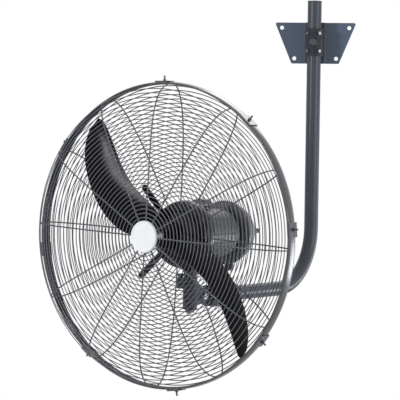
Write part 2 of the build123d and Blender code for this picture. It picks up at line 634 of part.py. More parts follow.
def rear_cover():
    """Domed sheet cover over the gear case: rolled lip in front, slot below for the crank boss."""
    wall, lip = COVER_WALL, COVER_FRONT + COVER_LIP
    shell = turned(
        (COVER_R, COVER_FRONT), (COVER_R, lip), (COVER_EDGE, lip), (COVER_SHOULDER_R, COVER_SHOULDER_BACK),
        (COVER_SLOPE_R, COVER_SLOPE_BACK), (COVER_BACK_R, COVER_BACK), (KNOB_STEM_R + GAP, COVER_BACK),
        (KNOB_STEM_R + GAP, COVER_BACK - wall), (COVER_BACK_R - 1, COVER_BACK - wall),
        (COVER_SLOPE_R - wall, COVER_SLOPE_BACK - wall), (COVER_EDGE - wall, COVER_FRONT + 1))
    wide = CRANK_HUB_R + 3
    return shell - block(-wide, wide, CRANK_BACK - wide, CRANK_BACK + wide, -COVER_R, -GEAR_CASE_R)


def knob_collar():
    """Boss on the cover's back that guides the oscillation knob."""
    collar = rod(KNOB_COLLAR_R, (0, COVER_BACK, 0), (0, KNOB_COLLAR_BACK, 0))
    return collar - bore(KNOB_STEM_R + RUNNING, (0, COVER_BACK, 0), (0, KNOB_COLLAR_BACK, 0))


def clutch_knob():
    """Oscillation knob: a small grip behind the boss, and its stem."""
    grip = rod(KNOB_R, (0, KNOB_COLLAR_BACK + GAP, 0), (0, KNOB_BACK, 0))
    return grip + pin(KNOB_STEM_R, (0, COVER_BACK - KNOB_DEPTH, 0), (0, KNOB_COLLAR_BACK + 1, 0))


def crank_arm():
    """Crank on the gear case's output shaft, with the link's pin under its free end."""
    x, back, low = -LEVER_REACH, CRANK_BACK, LINK_BOTTOM - GAP
    body = pin(CRANK_HUB_R, (0, back, CRANK_BOTTOM), (0, back, CRANK_TOP))
    body += block(x, 0, back - LINK_EYE_R, back + LINK_EYE_R, CRANK_BOTTOM, CRANK_TOP)
    body += pin(LINK_EYE_R, (x, back, CRANK_BOTTOM), (x, back, CRANK_TOP))
    body += pin(CRANK_SHAFT_R, (0, back, CRANK_TOP), (0, back, CRANK_TOP + CRANK_SHAFT))
    body += pin(LINK_PIN_R, (x, back, CRANK_BOTTOM), (x, back, low))
    return body + pin(LINK_PIN_R + LINK_STEP, (x, back, low), (x, back, low - LINK_STEP))


def link_rod():
    """Flat bar with an eye at each end, from the neck's lever pin to the crank pin."""
    x, half = -LEVER_REACH, LINK_WIDTH / 2
    bar = block(x - half, x + half, PIVOT_BACK, CRANK_BACK, LINK_BOTTOM, LINK_TOP)
    for back in (PIVOT_BACK, CRANK_BACK):
        bar += pin(LINK_EYE_R, (x, back, LINK_BOTTOM), (x, back, LINK_TOP))
    for back in (PIVOT_BACK, CRANK_BACK):
        bar -= bore(LINK_PIN_R + RUNNING, (x, back, LINK_BOTTOM), (x, back, LINK_TOP))
    return bar


write("pivot_pin", HEAD * pivot_pin())
write("pin_retainer", HEAD * pin_retainer())
write("motor_foot", HEAD * motor_foot())
write("foot_bolts", HEAD * Compound([foot_bolt(*spot) for spot in FOOT_BOLT_SPOTS]))
write("front_bell", HEAD * front_bell())
write("motor_shell", HEAD * motor_shell())
write("stator_core", HEAD * stator_core())
write("stator_windings", HEAD * Compound([winding(STATOR_FRONT - WINDING_LENGTH), winding(STATOR_BACK)]))
write("shaft_bearings", HEAD * Compound([bearing(FRONT_BEARING), bearing(REAR_BEARING)]))
write("capacitor", HEAD * capacitor())
write("capacitor_clamp", HEAD * capacitor_clamp())
write("gear_case", HEAD * gear_case())
write("rear_cover", HEAD * rear_cover())
write("knob_collar", HEAD * knob_collar())
write("clutch_knob", HEAD * clutch_knob())
write("crank_arm", HEAD * crank_arm())
write("link_rod", HEAD * link_rod())


# ---------------------------------------------------------------- propeller and rotor
def motor_shaft():
    """Plain shaft from the propeller's nut to the gear case."""
    return pin(SHAFT_R, (0, SHAFT_FRONT, 0), (0, SHAFT_BACK, 0))


def rotor_core():
    """Rotor stack on the shaft."""
    core = along(RegularPolygon(ROTOR_R, 24), (0, STATOR_FRONT, 0), (0, STATOR_BACK, 0))
    return core - bore(SHAFT_R, (0, STATOR_FRONT, 0), (0, STATOR_BACK, 0))


def propeller_hub():
    """Cast hub, stepped down in front towards the shaft nut."""
    nose, edge = (NUT_R + 3, HUB_FRONT), (HUB_R, HUB_FRONT + 8)
    hub = turned((0, HUB_FRONT), nose, edge, (HUB_R, HUB_BACK), (0, HUB_BACK))
    return hub - bore(SHAFT_R, (0, HUB_FRONT, 0), (0, HUB_BACK, 0))


def blade_section(out, across_front, back_front, across_rear, back_rear):
    """Thin cambered slice across the span: two arcs, thickest in the middle, closed at both edges."""
    front, rear = Vector(across_front, back_front), Vector(across_rear, back_rear)
    chord = front - rear
    normal = Vector(-chord.Y, chord.X).normalized()
    middle = (front + rear) * 0.5 + normal * (chord.length * BLADE_CAMBER)
    thick, edge = normal * (BLADE_THICKNESS / 2), normal * (BLADE_THICKNESS / 4)

    def at(point):
        return out, point.Y, point.X

    sides = [ThreePointArc(at(front - edge), at(middle - thick), at(rear - edge)),
             Line(at(rear - edge), at(rear + edge)),
             ThreePointArc(at(rear + edge), at(middle + thick), at(front + edge)),
             Line(at(front + edge), at(front - edge))]
    return make_face(Wire(sides))


def propeller_blade():
    """Sickle blade lofted through its stations, cut to seat on the hub."""
    solid = loft([blade_section(*station) for station in BLADE_STATIONS])
    return solid - rod(HUB_R, (0, HUB_FRONT - OVERRUN, 0), (0, HUB_BACK + OVERRUN, 0))


def shaft_nut():
    """Nut that holds the hub on the shaft."""
    nut = hexagon(NUT_R, (0, HUB_FRONT, 0), (0, HUB_FRONT - NUT_HEIGHT, 0))
    return nut - bore(SHAFT_R, (0, HUB_FRONT, 0), (0, HUB_FRONT - NUT_HEIGHT, 0))


write("motor_shaft", HEAD * motor_shaft())
write("rotor_core", HEAD * rotor_core())
write("propeller_hub", HEAD * propeller_hub())
write("shaft_nut", HEAD * shaft_nut())
for number, blade in enumerate(about_shaft(propeller_blade(), BLADE_COUNT, BLADE_ANGLE), start=1):
    write(f"propeller_blade_{number}", HEAD * blade)


# ---------------------------------------------------------------- guard
RIM_R = BAND_R - BAND_WALL - RIM_WIRE / 2 - GAP
RIB_FRONT = CAP_FRONT - CAP_DEPTH                    # the cap seats on the front ribs
FRONT_DEPTH = RIB_FRONT - GUARD_WIRE / 2 - RIM_PART / 2
REAR_DEPTH = MOUNT_RING_FRONT - GUARD_WIRE / 2 - RIM_PART / 2
MOUNT_MIDDLE_R = MOUNT_RING_R - MOUNT_RING_WIDTH / 2
MOUNT_SCREW_ANGLES = [MOUNT_SCREW_PHASE + 360.0 * k / MOUNT_SCREW_COUNT for k in range(MOUNT_SCREW_COUNT)]


def rib_spine(inner, depth, power):
    """Middle line of a rib, (radius, stand-off from the rim) points: flat inside, steep at the rim."""
    places = [place for place in GUARD_PLACES if place * RIM_R > inner] + [1.0]
    return [(inner, depth)] + [(place * RIM_R, depth * sqrt(1 - place ** power)) for place in places]


def lifted(spine, r):
    """Place of a ring's middle that lies on the outside of the ribs at radius r: (radius, stand-off)."""
    for (r0, s0), (r1, s1) in zip(spine, spine[1:]):
        if r0 <= r <= r1:
            run, rise = r1 - r0, s1 - s0
            long = hypot(run, rise)
            return r - rise / long * RING_LIFT, s0 + rise * (r - r0) / run + run / long * RING_LIFT


def wire_ring(r, middle, wire, sides):
    """Ring of square wire bent with flat sides, the flats at radius r."""
    turn = 180.0 / sides
    section = RegularPolygon(r + wire / 2, sides, major_radius=False, rotation=turn)
    section -= RegularPolygon(r - wire / 2, sides, major_radius=False, rotation=turn)
    return along(section, (0, middle - wire / 2, 0), (0, middle + wire / 2, 0))


def guard(way, depth, power, rib_inner, first_ring):
    """Welded grille: a rim wire, bent ribs and rings on the ribs' outside. way is -1 front, +1 rear."""
    rim = RIM_PART / 2
    corner = (RIM_R + RIM_WIRE / 2) * cos(radians(180.0 / RIM_SIDE_COUNT)) - RIM_WIRE / 2
    pieces = [wire_ring(corner, way * rim, RIM_WIRE, RIM_SIDE_COUNT)]
    spine = rib_spine(rib_inner, depth, power)
    line = Polyline(*[(r, way * (rim + stand)) for r, stand in spine])
    rib = Pos(0, 0, -GUARD_WIRE / 2) * extrude(trace(line, GUARD_WIRE), GUARD_WIRE)
    pieces += about_shaft(rib, GUARD_RIB_COUNT)
    for k in range(int((GUARD_PLACES[-1] * RIM_R - first_ring) / RING_PITCH) + 1):
        r, stand = lifted(spine, first_ring + k * RING_PITCH)
        sides = RING_SIDE_COUNT if r > SMALL_RING_R else RING_SIDE_COUNT // 2
        pieces.append(wire_ring(r, way * (rim + stand), GUARD_WIRE, sides))
    return Rot(0, -GUARD_RIB_PHASE, 0) * pieces[0].fuse(*pieces[1:])


def centre_cap():
    """Plain cap on the front guard's middle, slightly crowned, with a rolled edge."""
    front = -CAP_FRONT
    return turned(
        (0, -RIB_FRONT), (CAP_R, -RIB_FRONT), (CAP_R, front + 3), (CAP_R - 2.5, front),
        (CAP_R - 5, front + CAP_DISH), (0, front + CAP_DISH / 2))


def cap_plate():
    """Disc behind the ribs that the cap is screwed to."""
    face = -RIB_FRONT + GUARD_WIRE + SEAT
    return along(RegularPolygon(CAP_PLATE_R, 24), (0, face, 0), (0, face + CAP_PLATE, 0))


def guard_mount_ring():
    """Flat ring on the bell's land; the rear guard's ribs lie on its front."""
    inner, front = MOUNT_RING_R - MOUNT_RING_WIDTH, MOUNT_RING_FRONT
    return turned((inner, front), (MOUNT_RING_R, front), (MOUNT_RING_R, BELL_LAND), (inner, BELL_LAND))


REAR_SPINE = rib_spine(MOUNT_MIDDLE_R, REAR_DEPTH, REAR_POWER)
STAY_BACK = RIM_PART / 2 + lifted(REAR_SPINE, STAY_REACH)[1] - GUARD_WIRE / 2 - GAP
STAY_FACE = STAY_BACK - STAY                         # the stays pass just in front of the rings


def guard_stay():
    """Flat bar on the mount ring, on the +X side: it steadies the rear guard's inner rings."""
    inner, half, end = MOUNT_RING_R - MOUNT_RING_WIDTH, STAY_WIDTH / 2, STAY_REACH - STAY_WIDTH / 2
    bar = block(inner, end, STAY_FACE, STAY_BACK, -half, half)
    bar += rod(half, (end, STAY_FACE, 0), (end, STAY_BACK, 0))
    return bar + block(inner, MOUNT_RING_R, STAY_BACK, MOUNT_RING_FRONT, -half, half)


def mount_screw(angle):
    """Hexagon head on the mount ring or on a stay, between two ribs."""
    face = STAY_FACE if angle in STAY_ANGLES else MOUNT_RING_FRONT
    head = hexagon(MOUNT_SCREW_R, (MOUNT_MIDDLE_R, face, 0), (MOUNT_MIDDLE_R, face - MOUNT_SCREW, 0))
    return Rot(0, -angle, 0) * head


def rim_band():
    """Rolled channel that wraps both rim wires, open towards the shaft."""
    half, wall, low = BAND_WIDTH / 2, BAND_WALL, BAND_R - BAND_FLANGE
    return turned(
        (BAND_R, -half), (BAND_R, half), (low, half), (low, half - wall), (BAND_R - wall, half - wall),
        (BAND_R - wall, wall - half), (low, wall - half), (low, -half))


def rim_clip():
    """Saddle over the band, on the +X side: an outer plate and two cheeks."""
    half, long = BAND_WIDTH / 2 + SEAT, CLIP_LENGTH / 2
    low, high = BAND_R - BAND_FLANGE, BAND_R + SEAT
    outer = block(low, high + CLIP_WALL, -half - CLIP_WALL, half + CLIP_WALL, -long, long)
    return outer - block(low - 1, high, -half, half, -long - 1, long + 1)


def clip_screw():
    """Nut on the clip's outer plate and the screw's end that stands out of it."""
    face = BAND_R + SEAT + CLIP_WALL
    nut = hexagon(CLIP_NUT_R, (face, 0, 0), (face + CLIP_NUT, 0, 0))
    return nut + hexagon(CLIP_SCREW_R, (face, 0, 0), (face + CLIP_SCREW, 0, 0))


write("front_guard", HEAD * guard(-1, FRONT_DEPTH, FRONT_POWER, FRONT_RIB_INNER, FRONT_RING_R))
write("rear_guard", HEAD * guard(1, REAR_DEPTH, REAR_POWER, MOUNT_MIDDLE_R, REAR_RING_R))
write("guard_mount_ring", HEAD * guard_mount_ring())
write("guard_stays", HEAD * Compound(at_angles(guard_stay(), STAY_ANGLES)))
write("guard_mount_screws", HEAD * Compound([mount_screw(angle) for angle in MOUNT_SCREW_ANGLES]))
write("rim_band", HEAD * rim_band())
write("rim_clips", HEAD * Compound(at_angles(rim_clip(), CLIP_ANGLES)))
write("clip_screws", HEAD * Compound(at_angles(clip_screw(), CLIP_ANGLES)))
write("centre_cap", HEAD * centre_cap())
write("cap_plate", HEAD * cap_plate())
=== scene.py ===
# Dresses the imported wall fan: rolled, bent and turned sheet metal, welded wire grilles, castings, paint.
# Laid out as an add-on and run as a script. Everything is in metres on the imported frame's own axes:
# +Z is up, the wall plate's back lies on Y = 0 and the room is towards -Y.

import json

import bmesh
import bpy
import numpy as np
from bpy.props import FloatProperty, FloatVectorProperty, IntProperty, PointerProperty
from mathutils import Matrix, Vector


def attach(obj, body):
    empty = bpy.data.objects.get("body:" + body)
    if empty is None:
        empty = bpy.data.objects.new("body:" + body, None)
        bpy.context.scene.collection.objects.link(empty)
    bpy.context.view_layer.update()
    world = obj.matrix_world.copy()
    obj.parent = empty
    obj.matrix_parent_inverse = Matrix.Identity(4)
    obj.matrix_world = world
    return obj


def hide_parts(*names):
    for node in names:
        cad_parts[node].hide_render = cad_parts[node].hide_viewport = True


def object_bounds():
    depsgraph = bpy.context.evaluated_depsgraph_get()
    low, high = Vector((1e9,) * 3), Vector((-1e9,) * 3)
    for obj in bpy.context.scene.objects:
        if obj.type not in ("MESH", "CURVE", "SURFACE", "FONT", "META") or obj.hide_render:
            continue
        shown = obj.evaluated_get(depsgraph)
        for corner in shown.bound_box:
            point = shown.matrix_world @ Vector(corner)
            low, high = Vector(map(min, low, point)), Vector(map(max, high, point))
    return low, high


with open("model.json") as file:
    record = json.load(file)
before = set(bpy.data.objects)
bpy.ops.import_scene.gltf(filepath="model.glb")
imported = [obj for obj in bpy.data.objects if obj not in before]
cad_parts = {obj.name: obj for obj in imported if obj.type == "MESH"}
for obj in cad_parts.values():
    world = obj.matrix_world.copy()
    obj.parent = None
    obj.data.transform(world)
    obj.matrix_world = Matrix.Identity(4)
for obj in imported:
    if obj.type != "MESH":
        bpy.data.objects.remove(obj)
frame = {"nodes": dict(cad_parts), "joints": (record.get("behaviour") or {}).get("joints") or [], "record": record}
cad_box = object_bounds()

bl_info = {
    "name": "Wall Fan",
    "version": (1, 0, 0),
    "blender": (4, 5, 0),
    "location": "View3D > Sidebar > Wall Fan",
    "description": "Dresses the packed wall fan with its wires, castings and paint",
    "category": "Object",
}

MM = 0.001
TURN = 2 * np.pi
RECORD = frame["record"]
JOINTS = {joint["name"]: joint for joint in frame["joints"]}
BODIES = {node: body for body, nodes in RECORD["behaviour"]["bodies"].items() for node in nodes}
SLOTS = {sub["node"]: sub["material_slot"] for sub in RECORD["subparts"]}
SLOT_COLOURS = {slot["slot"]: slot["base_color"] for slot in RECORD["materials"]}


# ---- places
def axes(origin, x, y):
    """4x4 matrix with columns x, y, their cross product and the origin."""
    place = np.eye(4)
    place[:3, 0], place[:3, 1], place[:3, 2], place[:3, 3] = x, y, np.cross(x, y), origin
    return place


ACROSS, ALONG = JOINTS["head_tilt"]["axis"], JOINTS["propeller_spin"]["axis"]
WALL = np.eye(4)
ARM = axes(JOINTS["arm_swivel"]["pos_m"], ACROSS, ALONG)  # upright tube's axis, +Y to the wall
HEAD = axes(JOINTS["propeller_spin"]["pos_m"], ACROSS, ALONG)  # middle of the guard, +Y backwards


def reach(node, place):
    """Lowest and highest corner of a CAD node, measured along a place's own axes."""
    mesh = frame["nodes"][node].data
    points = np.empty(len(mesh.vertices) * 3, np.float32)
    mesh.vertices.foreach_get("co", points)
    local = (points.reshape(-1, 3) - place[:3, 3]) @ place[:3, :3]
    return local.min(0), local.max(0)


def turned_size(node):
    """Outer radius, front and back of a CAD node that is round about the head's axis, in millimetres."""
    low, high = reach(node, HEAD)
    return high[0] / MM, low[1] / MM, high[1] / MM


# ---- surfaces
CORNER_SHARE = 0.4  # the most of a side that a corner's cut may take


def around(count):
    """Evenly spaced angles, once round."""
    return np.linspace(0, TURN, count, endpoint=False)


def grid(points, round_rows=False, round_columns=False):
    """Quads between neighbouring points of a (rows, columns, 3) array.

    Where it is round, its last row or column is joined back to the first."""
    rows, columns = points.shape[:2]
    i, j = np.indices((rows - (not round_rows), columns - (not round_columns)))
    k, m = (i + 1) % rows, (j + 1) % columns
    quads = np.stack([i * columns + j, i * columns + m, k * columns + m, k * columns + j], -1)
    return points.reshape(-1, 3), quads.reshape(-1, 4)


def capped(rows, ends):
    """Grid of closed rows, drawn together to a point at each end."""
    first, last = (np.broadcast_to(end, (1, rows.shape[1], 3)) for end in ends)
    return grid(np.concatenate([first, rows, last]), False, True)


def gather(*parts):
    """Several (points, quads) pairs as one."""
    starts = np.cumsum([0] + [len(points) for points, _ in parts[:-1]])
    quads = [quads + start for (_, quads), start in zip(parts, starts)]
    return np.concatenate([points for points, _ in parts]), np.concatenate(quads)


def round_shaft(part, angles):
    """Copies of a (points, quads) pair turned about the Y axis; an angle runs from +X towards +Z."""
    points, quads = part
    angles = np.asarray(angles, float)
    c, s = np.cos(angles)[:, None], np.sin(angles)[:, None]
    x, y, z = points[:, 0], points[:, 1], points[:, 2]
    turned = np.stack([c * x - s * z, np.broadcast_to(y, (len(angles), len(y))), s * x + c * z], -1)
    shifts = np.arange(len(angles))[:, None, None] * len(points)
    return turned.reshape(-1, 3), (quads + shifts).reshape(-1, 4)


def rounded(corners, cut, steps):
    """A closed outline with each corner replaced by a parabola that starts and ends `cut` from it.

    The curve is (1-t)^2 a + 2t(1-t) corner + t^2 b, where a and b lie on the two sides, at most
    CORNER_SHARE of a side along it."""
    t = np.linspace(0, 1, steps)[None, :, None]
    before, after = np.roll(corners, 1, 0) - corners, np.roll(corners, -1, 0) - corners
    ends = []
    for side in (before, after):
        length = np.linalg.norm(side, axis=1, keepdims=True)
        ends.append((corners + side / length * np.minimum(cut[:, None], CORNER_SHARE * length))[:, None])
    curve = (1 - t) ** 2 * ends[0] + 2 * t * (1 - t) * corners[:, None] + t ** 2 * ends[1]
    return curve.reshape(-1, 2)


def revolved(outline, steps):
    """Closed (radius, back) outline turned about the Y axis: (r cos a, back, r sin a)."""
    angle = around(steps)[:, None]
    r, back = outline[None, :, 0], outline[None, :, 1]
    points = np.stack(np.broadcast_arrays(r * np.cos(angle), back, r * np.sin(angle)), -1)
    return grid(points, True, True)


def lathe(rows, steps=96, arc=5):
    """Closed outline of (radius, back, corner cut) rows in millimetres, rounded and then revolved.

    Each corner gets `arc` points, and `steps` points go once round the axis."""
    rows = np.asarray(rows, float) * MM
    return revolved(rounded(rows[:, :2], rows[:, 2], arc), steps)


def smooth_line(knots, count):
    """Points spaced evenly in parameter on the Catmull-Rom curve through the knots.

    Between two knots the curve is the cubic whose end slopes are half the difference of the
    neighbours on either side; the first and last knots are mirrored to give their slopes."""
    padded = np.concatenate([2 * knots[:1] - knots[1:2], knots, 2 * knots[-1:] - knots[-2:-1]])
    place = np.linspace(0, len(knots) - 1, count)
    piece = np.minimum(place.astype(int), len(knots) - 2)
    t = (place - piece)[:, None]
    a, b, c, d = (padded[piece + k] for k in range(4))
    return 0.5 * (
        2 * b + (c - a) * t + (2 * a - 5 * b + 4 * c - d) * t ** 2 + (3 * b - a - 3 * c + d) * t ** 3)


def wire(path, flat, radius, sides):
    """Round wire along a path that lies in a plane with normal `flat`, its ends closed.

    Each row is path + radius (cos a * flat + sin a * side), side being flat crossed with the path's
    direction."""
    flat = np.asarray(flat, float)
    ahead = np.gradient(path, axis=0)
    ahead /= np.linalg.norm(ahead, axis=1, keepdims=True)
    side = np.cross(flat, ahead)
    angle = around(sides)[None, :, None]
    radius = np.broadcast_to(np.asarray(radius, float), len(path))[:, None, None]
    points = path[:, None] + radius * (np.cos(angle) * flat + np.sin(angle) * side[:, None])
    return capped(points, path[[0, -1]])


def torus(radius, back, thick, steps, sides):
    """Ring of round wire about the Y axis: tube angle b gives (radius + thick cos b, back + thick sin b)."""
    b = around(sides)
    return revolved(np.stack([radius + thick * np.cos(b), back + thick * np.sin(b)], -1), steps)


# ---- pieces
SAME_POINT = 1e-6  # points closer than this become one (m)
NO_WIDTH = 1e-7  # faces narrower than this are dropped (m)
FLAT_ANGLE = 0.5  # CAD faces that turn less than this are joined (degrees)
FORM_CREASE = 32.0  # edges of a new form that turn less are shaded smooth (degrees)
MACHINED_CREASE = 40.0  # edges of a machined piece that turn more are broken (degrees)
NO_CREASE = 180.0  # shades everything smooth


def soften(mesh, crease):
    """Merge doubles, drop closed-up faces, point faces outward and shade smooth below the crease angle."""
    work = bmesh.new()
    work.from_mesh(mesh)
    bmesh.ops.remove_doubles(work, verts=work.verts, dist=SAME_POINT)
    bmesh.ops.dissolve_degenerate(work, edges=work.edges, dist=NO_WIDTH)
    bmesh.ops.recalc_face_normals(work, faces=work.faces)
    work.to_mesh(mesh)
    work.free()
    mesh.shade_smooth()
    mesh.set_sharp_from_angle(angle=np.radians(crease))
    return mesh


def closed_mesh(part, place, crease=FORM_CREASE):
    """Softened mesh of a (points, quads) pair in its place."""
    points, quads = part
    world = points @ place[:3, :3].T + place[:3, 3]
    mesh = bpy.data.meshes.new("form")
    mesh.from_pydata(world.tolist(), [], quads.tolist())
    return soften(mesh, crease)


def add(name, data):
    """A new object in the scene."""
    made = bpy.data.objects.new(name, data)
    bpy.context.scene.collection.objects.link(made)
    return made


def fit(name, mesh, slot, body, *nodes):
    """Put a finished mesh in the scene with its finish, on its body, in place of any CAD nodes."""
    mesh.name = name
    piece = add(name, mesh)
    mesh.materials.clear()
    mesh.materials.append(finish(slot))
    if nodes:
        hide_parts(*nodes)
    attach(piece, body)
    return piece


def stand_in(name, mesh, node, slot=None):
    """A finished mesh in place of a CAD node, on its body and with its slot unless another is given."""
    return fit(name, mesh, slot or SLOTS[node], BODIES[node], node)


def form(name, part, place, node, slot=None, crease=FORM_CREASE):
    """A new piece from a (points, quads) pair, in place of a CAD node."""
    stand_in(name, closed_mesh(part, place, crease), node, slot)


def settled(mesh, *modifiers):
    """The mesh after (kind, settings) modifiers."""
    holder = add("holder", mesh)
    for kind, settings in modifiers:
        modifier = holder.modifiers.new(kind, kind)
        for key, value in settings.items():
            setattr(modifier, key, value)
    done = bpy.data.meshes.new_from_object(holder.evaluated_get(bpy.context.evaluated_depsgraph_get()))
    bpy.data.objects.remove(holder)
    bpy.data.meshes.remove(mesh)
    return done


def node_copy(node):
    """A merged copy of a CAD node's mesh, its flat faces joined."""
    mesh = frame["nodes"][node].data.copy()
    work = bmesh.new()
    work.from_mesh(mesh)
    bmesh.ops.remove_doubles(work, verts=work.verts, dist=2 * SAME_POINT)
    bmesh.ops.dissolve_limit(
        work, angle_limit=np.radians(FLAT_ANGLE), verts=work.verts, edges=work.edges,
        use_dissolve_boundaries=False)
    work.to_mesh(mesh)
    work.free()
    return mesh


def machined(node, name, edge):
    """The CAD node's shape with its sharp edges broken by a round that is `edge` wide."""
    mesh = settled(node_copy(node), ("BEVEL", {
        "width": edge, "segments": 2, "limit_method": "ANGLE", "angle_limit": np.radians(MACHINED_CREASE)}))
    piece = stand_in(name, soften(mesh, MACHINED_CREASE), node)
    piece.modifiers.new("flat_faces", "WEIGHTED_NORMAL").keep_sharp = True


def cast(node, grain, passes):
    """The CAD node's shape as it leaves a mould: remeshed finely, every edge and inside corner run smooth."""
    mesh = settled(
        node_copy(node),
        ("REMESH", {"mode": "VOXEL", "voxel_size": grain}),
        ("SMOOTH", {"factor": 0.5, "iterations": passes}))
    stand_in(f"{node}_casting", soften(mesh, NO_CREASE), node)


# ---- node trees
def math_node(operation, swapped=False):
    """A method that adds a Math node on a reading and the other terms, which come first if swapped."""
    def method(self, *others):
        terms = (*others, self) if swapped else (self, *others)
        return self.nodes.node("ShaderNodeMath", {"operation": operation}, dict(enumerate(terms)))
    return method


class Reading:
    """One socket's number. Arithmetic on it adds Math nodes to its tree and gives the new reading."""

    def __init__(self, nodes, socket):
        self.nodes, self.socket = nodes, socket

    def clipped(self):
        """The reading kept within 0 and 1."""
        return self.nodes.node("ShaderNodeClamp", {}, {"Value": self})

    __add__ = __radd__ = math_node("ADD")
    __sub__, __rsub__ = math_node("SUBTRACT"), math_node("SUBTRACT", swapped=True)
    __mul__ = __rmul__ = math_node("MULTIPLY")
    __pow__, sine, or_higher = math_node("POWER"), math_node("SINE"), math_node("MAXIMUM")


class Nodes:
    """The node tree of a material or a world being made: one shader and what feeds it."""

    def __init__(self, owner, shader, output):
        owner.use_nodes = True
        self.tree = owner.node_tree
        self.tree.nodes.clear()
        self.shader = self.tree.nodes.new(shader)
        end = self.tree.nodes.new(output)
        self.tree.links.new(self.shader.outputs[0], end.inputs["Surface"])

    def node(self, kind, settings, sockets, output=0):
        """Any node: its settings first, then its sockets' values or links."""
        made = self.tree.nodes.new(kind)
        for key, value in settings.items():
            setattr(made, key, value)
        for key, value in sockets.items():
            self.feed(made.inputs[key], value)
        return Reading(self, made.outputs[output])

    def feed(self, socket, value):
        """Link a reading to a socket, or set the socket's own value; a colour gets its alpha."""
        if isinstance(value, Reading):
            self.tree.links.new(value.socket, socket)
        elif isinstance(socket.default_value, float):
            socket.default_value = value
        else:
            value = tuple(value)
            socket.default_value = value if len(value) == len(socket.default_value) else (*value, 1.0)

    def set(self, **sockets):
        """Feed the shader's sockets; an underscore in a name stands for a space."""
        for key, value in sockets.items():
            self.feed(self.shader.inputs[key.replace("_", " ")], value)


class Recipe(Nodes):
    """A material's finish being made. Every pattern lies on Object coordinates."""

    def __init__(self, name):
        self.material = bpy.data.materials.new(name)
        super().__init__(self.material, "ShaderNodeBsdfPrincipled", "ShaderNodeOutputMaterial")
        self.place = self.node("ShaderNodeTexCoord", {}, {}, "Object")

    def noise(self, size, detail=2.0, rough=0.5, where=None):
        """Cloudy pattern from 0 to 1, its patches about `size` metres across."""
        return self.node("ShaderNodeTexNoise", {}, {
            "Vector": where or self.place, "Scale": 1.0 / size, "Detail": detail, "Roughness": rough})

    def mix(self, first, second, factor):
        """Colour `first` run into `second` as the factor goes from 0 to 1."""
        return self.node("ShaderNodeMix", {"data_type": "RGBA"}, {0: factor, 6: first, 7: second}, 2)

    def spread(self, pattern, low, high):
        """The pattern stretched so that low becomes 0 and high becomes 1, clipped there."""
        return ((pattern - low) * (1.0 / (high - low))).clipped()

    def facing_up(self):
        """0 on walls and undersides, 1 where the surface faces straight up."""
        normal = self.node("ShaderNodeNewGeometry", {}, {}, "Normal")
        return self.node("ShaderNodeSeparateXYZ", {}, {0: normal}, "Z").clipped()

    def along(self, direction):
        """Metres along a direction."""
        return self.node("ShaderNodeVectorMath", {"operation": "DOT_PRODUCT"}, {
            0: self.place, 1: direction}, "Value")

    def stretched(self, direction, factor):
        """Coordinates drawn out along a direction, so that a pattern on them becomes streaks along it."""
        pull = self.node("ShaderNodeVectorMath", {"operation": "SCALE"}, {
            0: direction, "Scale": self.along(direction) * (factor - 1.0)})
        return self.node("ShaderNodeVectorMath", {"operation": "ADD"}, {0: self.place, 1: pull})

    def relief(self, height, depth):
        """Bump of the given depth in metres, as a normal."""
        return self.node("ShaderNodeBump", {}, {"Height": height, "Distance": depth}, "Normal")


# ---- finishes
UP, TO_WALL = (0.0, 0.0, 1.0), (0.0, 1.0, 0.0)
DUST = (0.36, 0.34, 0.31)
DUST_POWER = 2.0  # how steeply dust thins as a surface tilts away from level
DUST_PATCH = 14 * MM
ZONE_EDGE = 2 * MM  # width of the change into a zone's tint
PAINT_CLOUD, PAINT_SPECK = 60 * MM, 0.7 * MM
CAST_GRAIN, CAST_PIT, CAST_LUMP = 1.1 * MM, 2.6 * MM, 9 * MM
CAST_DUST = 0.08
STREAK_RATIO = 0.04  # a streak's width over its length
BLOTCH = 5 * MM
MOULD_GRAIN, MOULD_FLOW, MOULD_SCUFF = 0.5 * MM, 25 * MM, 3 * MM
RUST_PATCH, VARNISH_PATCH = 8 * MM, 6 * MM
SHEET_PITCH, STRAND_PITCH = 1.0 * MM, 0.9 * MM
SHEET_GAP = (0.05, 0.04, 0.035)  # colour between two core sheets


def painted(recipe, colour, gloss, shine, tone, peel=1.6 * MM, depth=0.12 * MM, dust=0.1, coat=0.0,
            coat_gloss=0.12, zone_tint=None):
    """Sprayed or powder paint: orange peel, faint clouds, specks, and dust on what faces up.

    A zone tint (direction, place, factors) multiplies the colour beyond that place along the direction:
    it paints the wall plate paler and bluer as painted light, and makes the rear guard's wires darker."""
    colour = colour * tone
    clouds, specks = recipe.noise(PAINT_CLOUD, 3.0), recipe.noise(PAINT_SPECK, 1.0)
    base = recipe.mix(colour * 0.86, colour * 1.14 + 0.001, (clouds * 0.7 + specks * 0.3).clipped())
    # zone tint: the wall plate painted paler and bluer as painted light; the rear guard's wires darker
    if zone_tint:
        direction, place, factors = zone_tint
        beyond = recipe.spread(recipe.along(direction), place, place + ZONE_EDGE)
        base = recipe.mix(base, colour * factors, beyond)
    patches = recipe.spread(recipe.noise(DUST_PATCH, 4.0, 0.7), 0.35, 0.75)
    lying = recipe.facing_up() ** DUST_POWER * patches * dust
    recipe.set(
        Base_Color=recipe.mix(base, DUST, lying),
        Roughness=(gloss + (clouds - 0.5) * 0.16 + lying * 0.8).clipped(),
        Normal=recipe.relief(recipe.noise(peel, 2.0) + recipe.noise(peel * 7, 1.0) * 0.6, depth),
        Coat_Weight=coat, Coat_Roughness=coat_gloss, Specular_IOR_Level=shine)


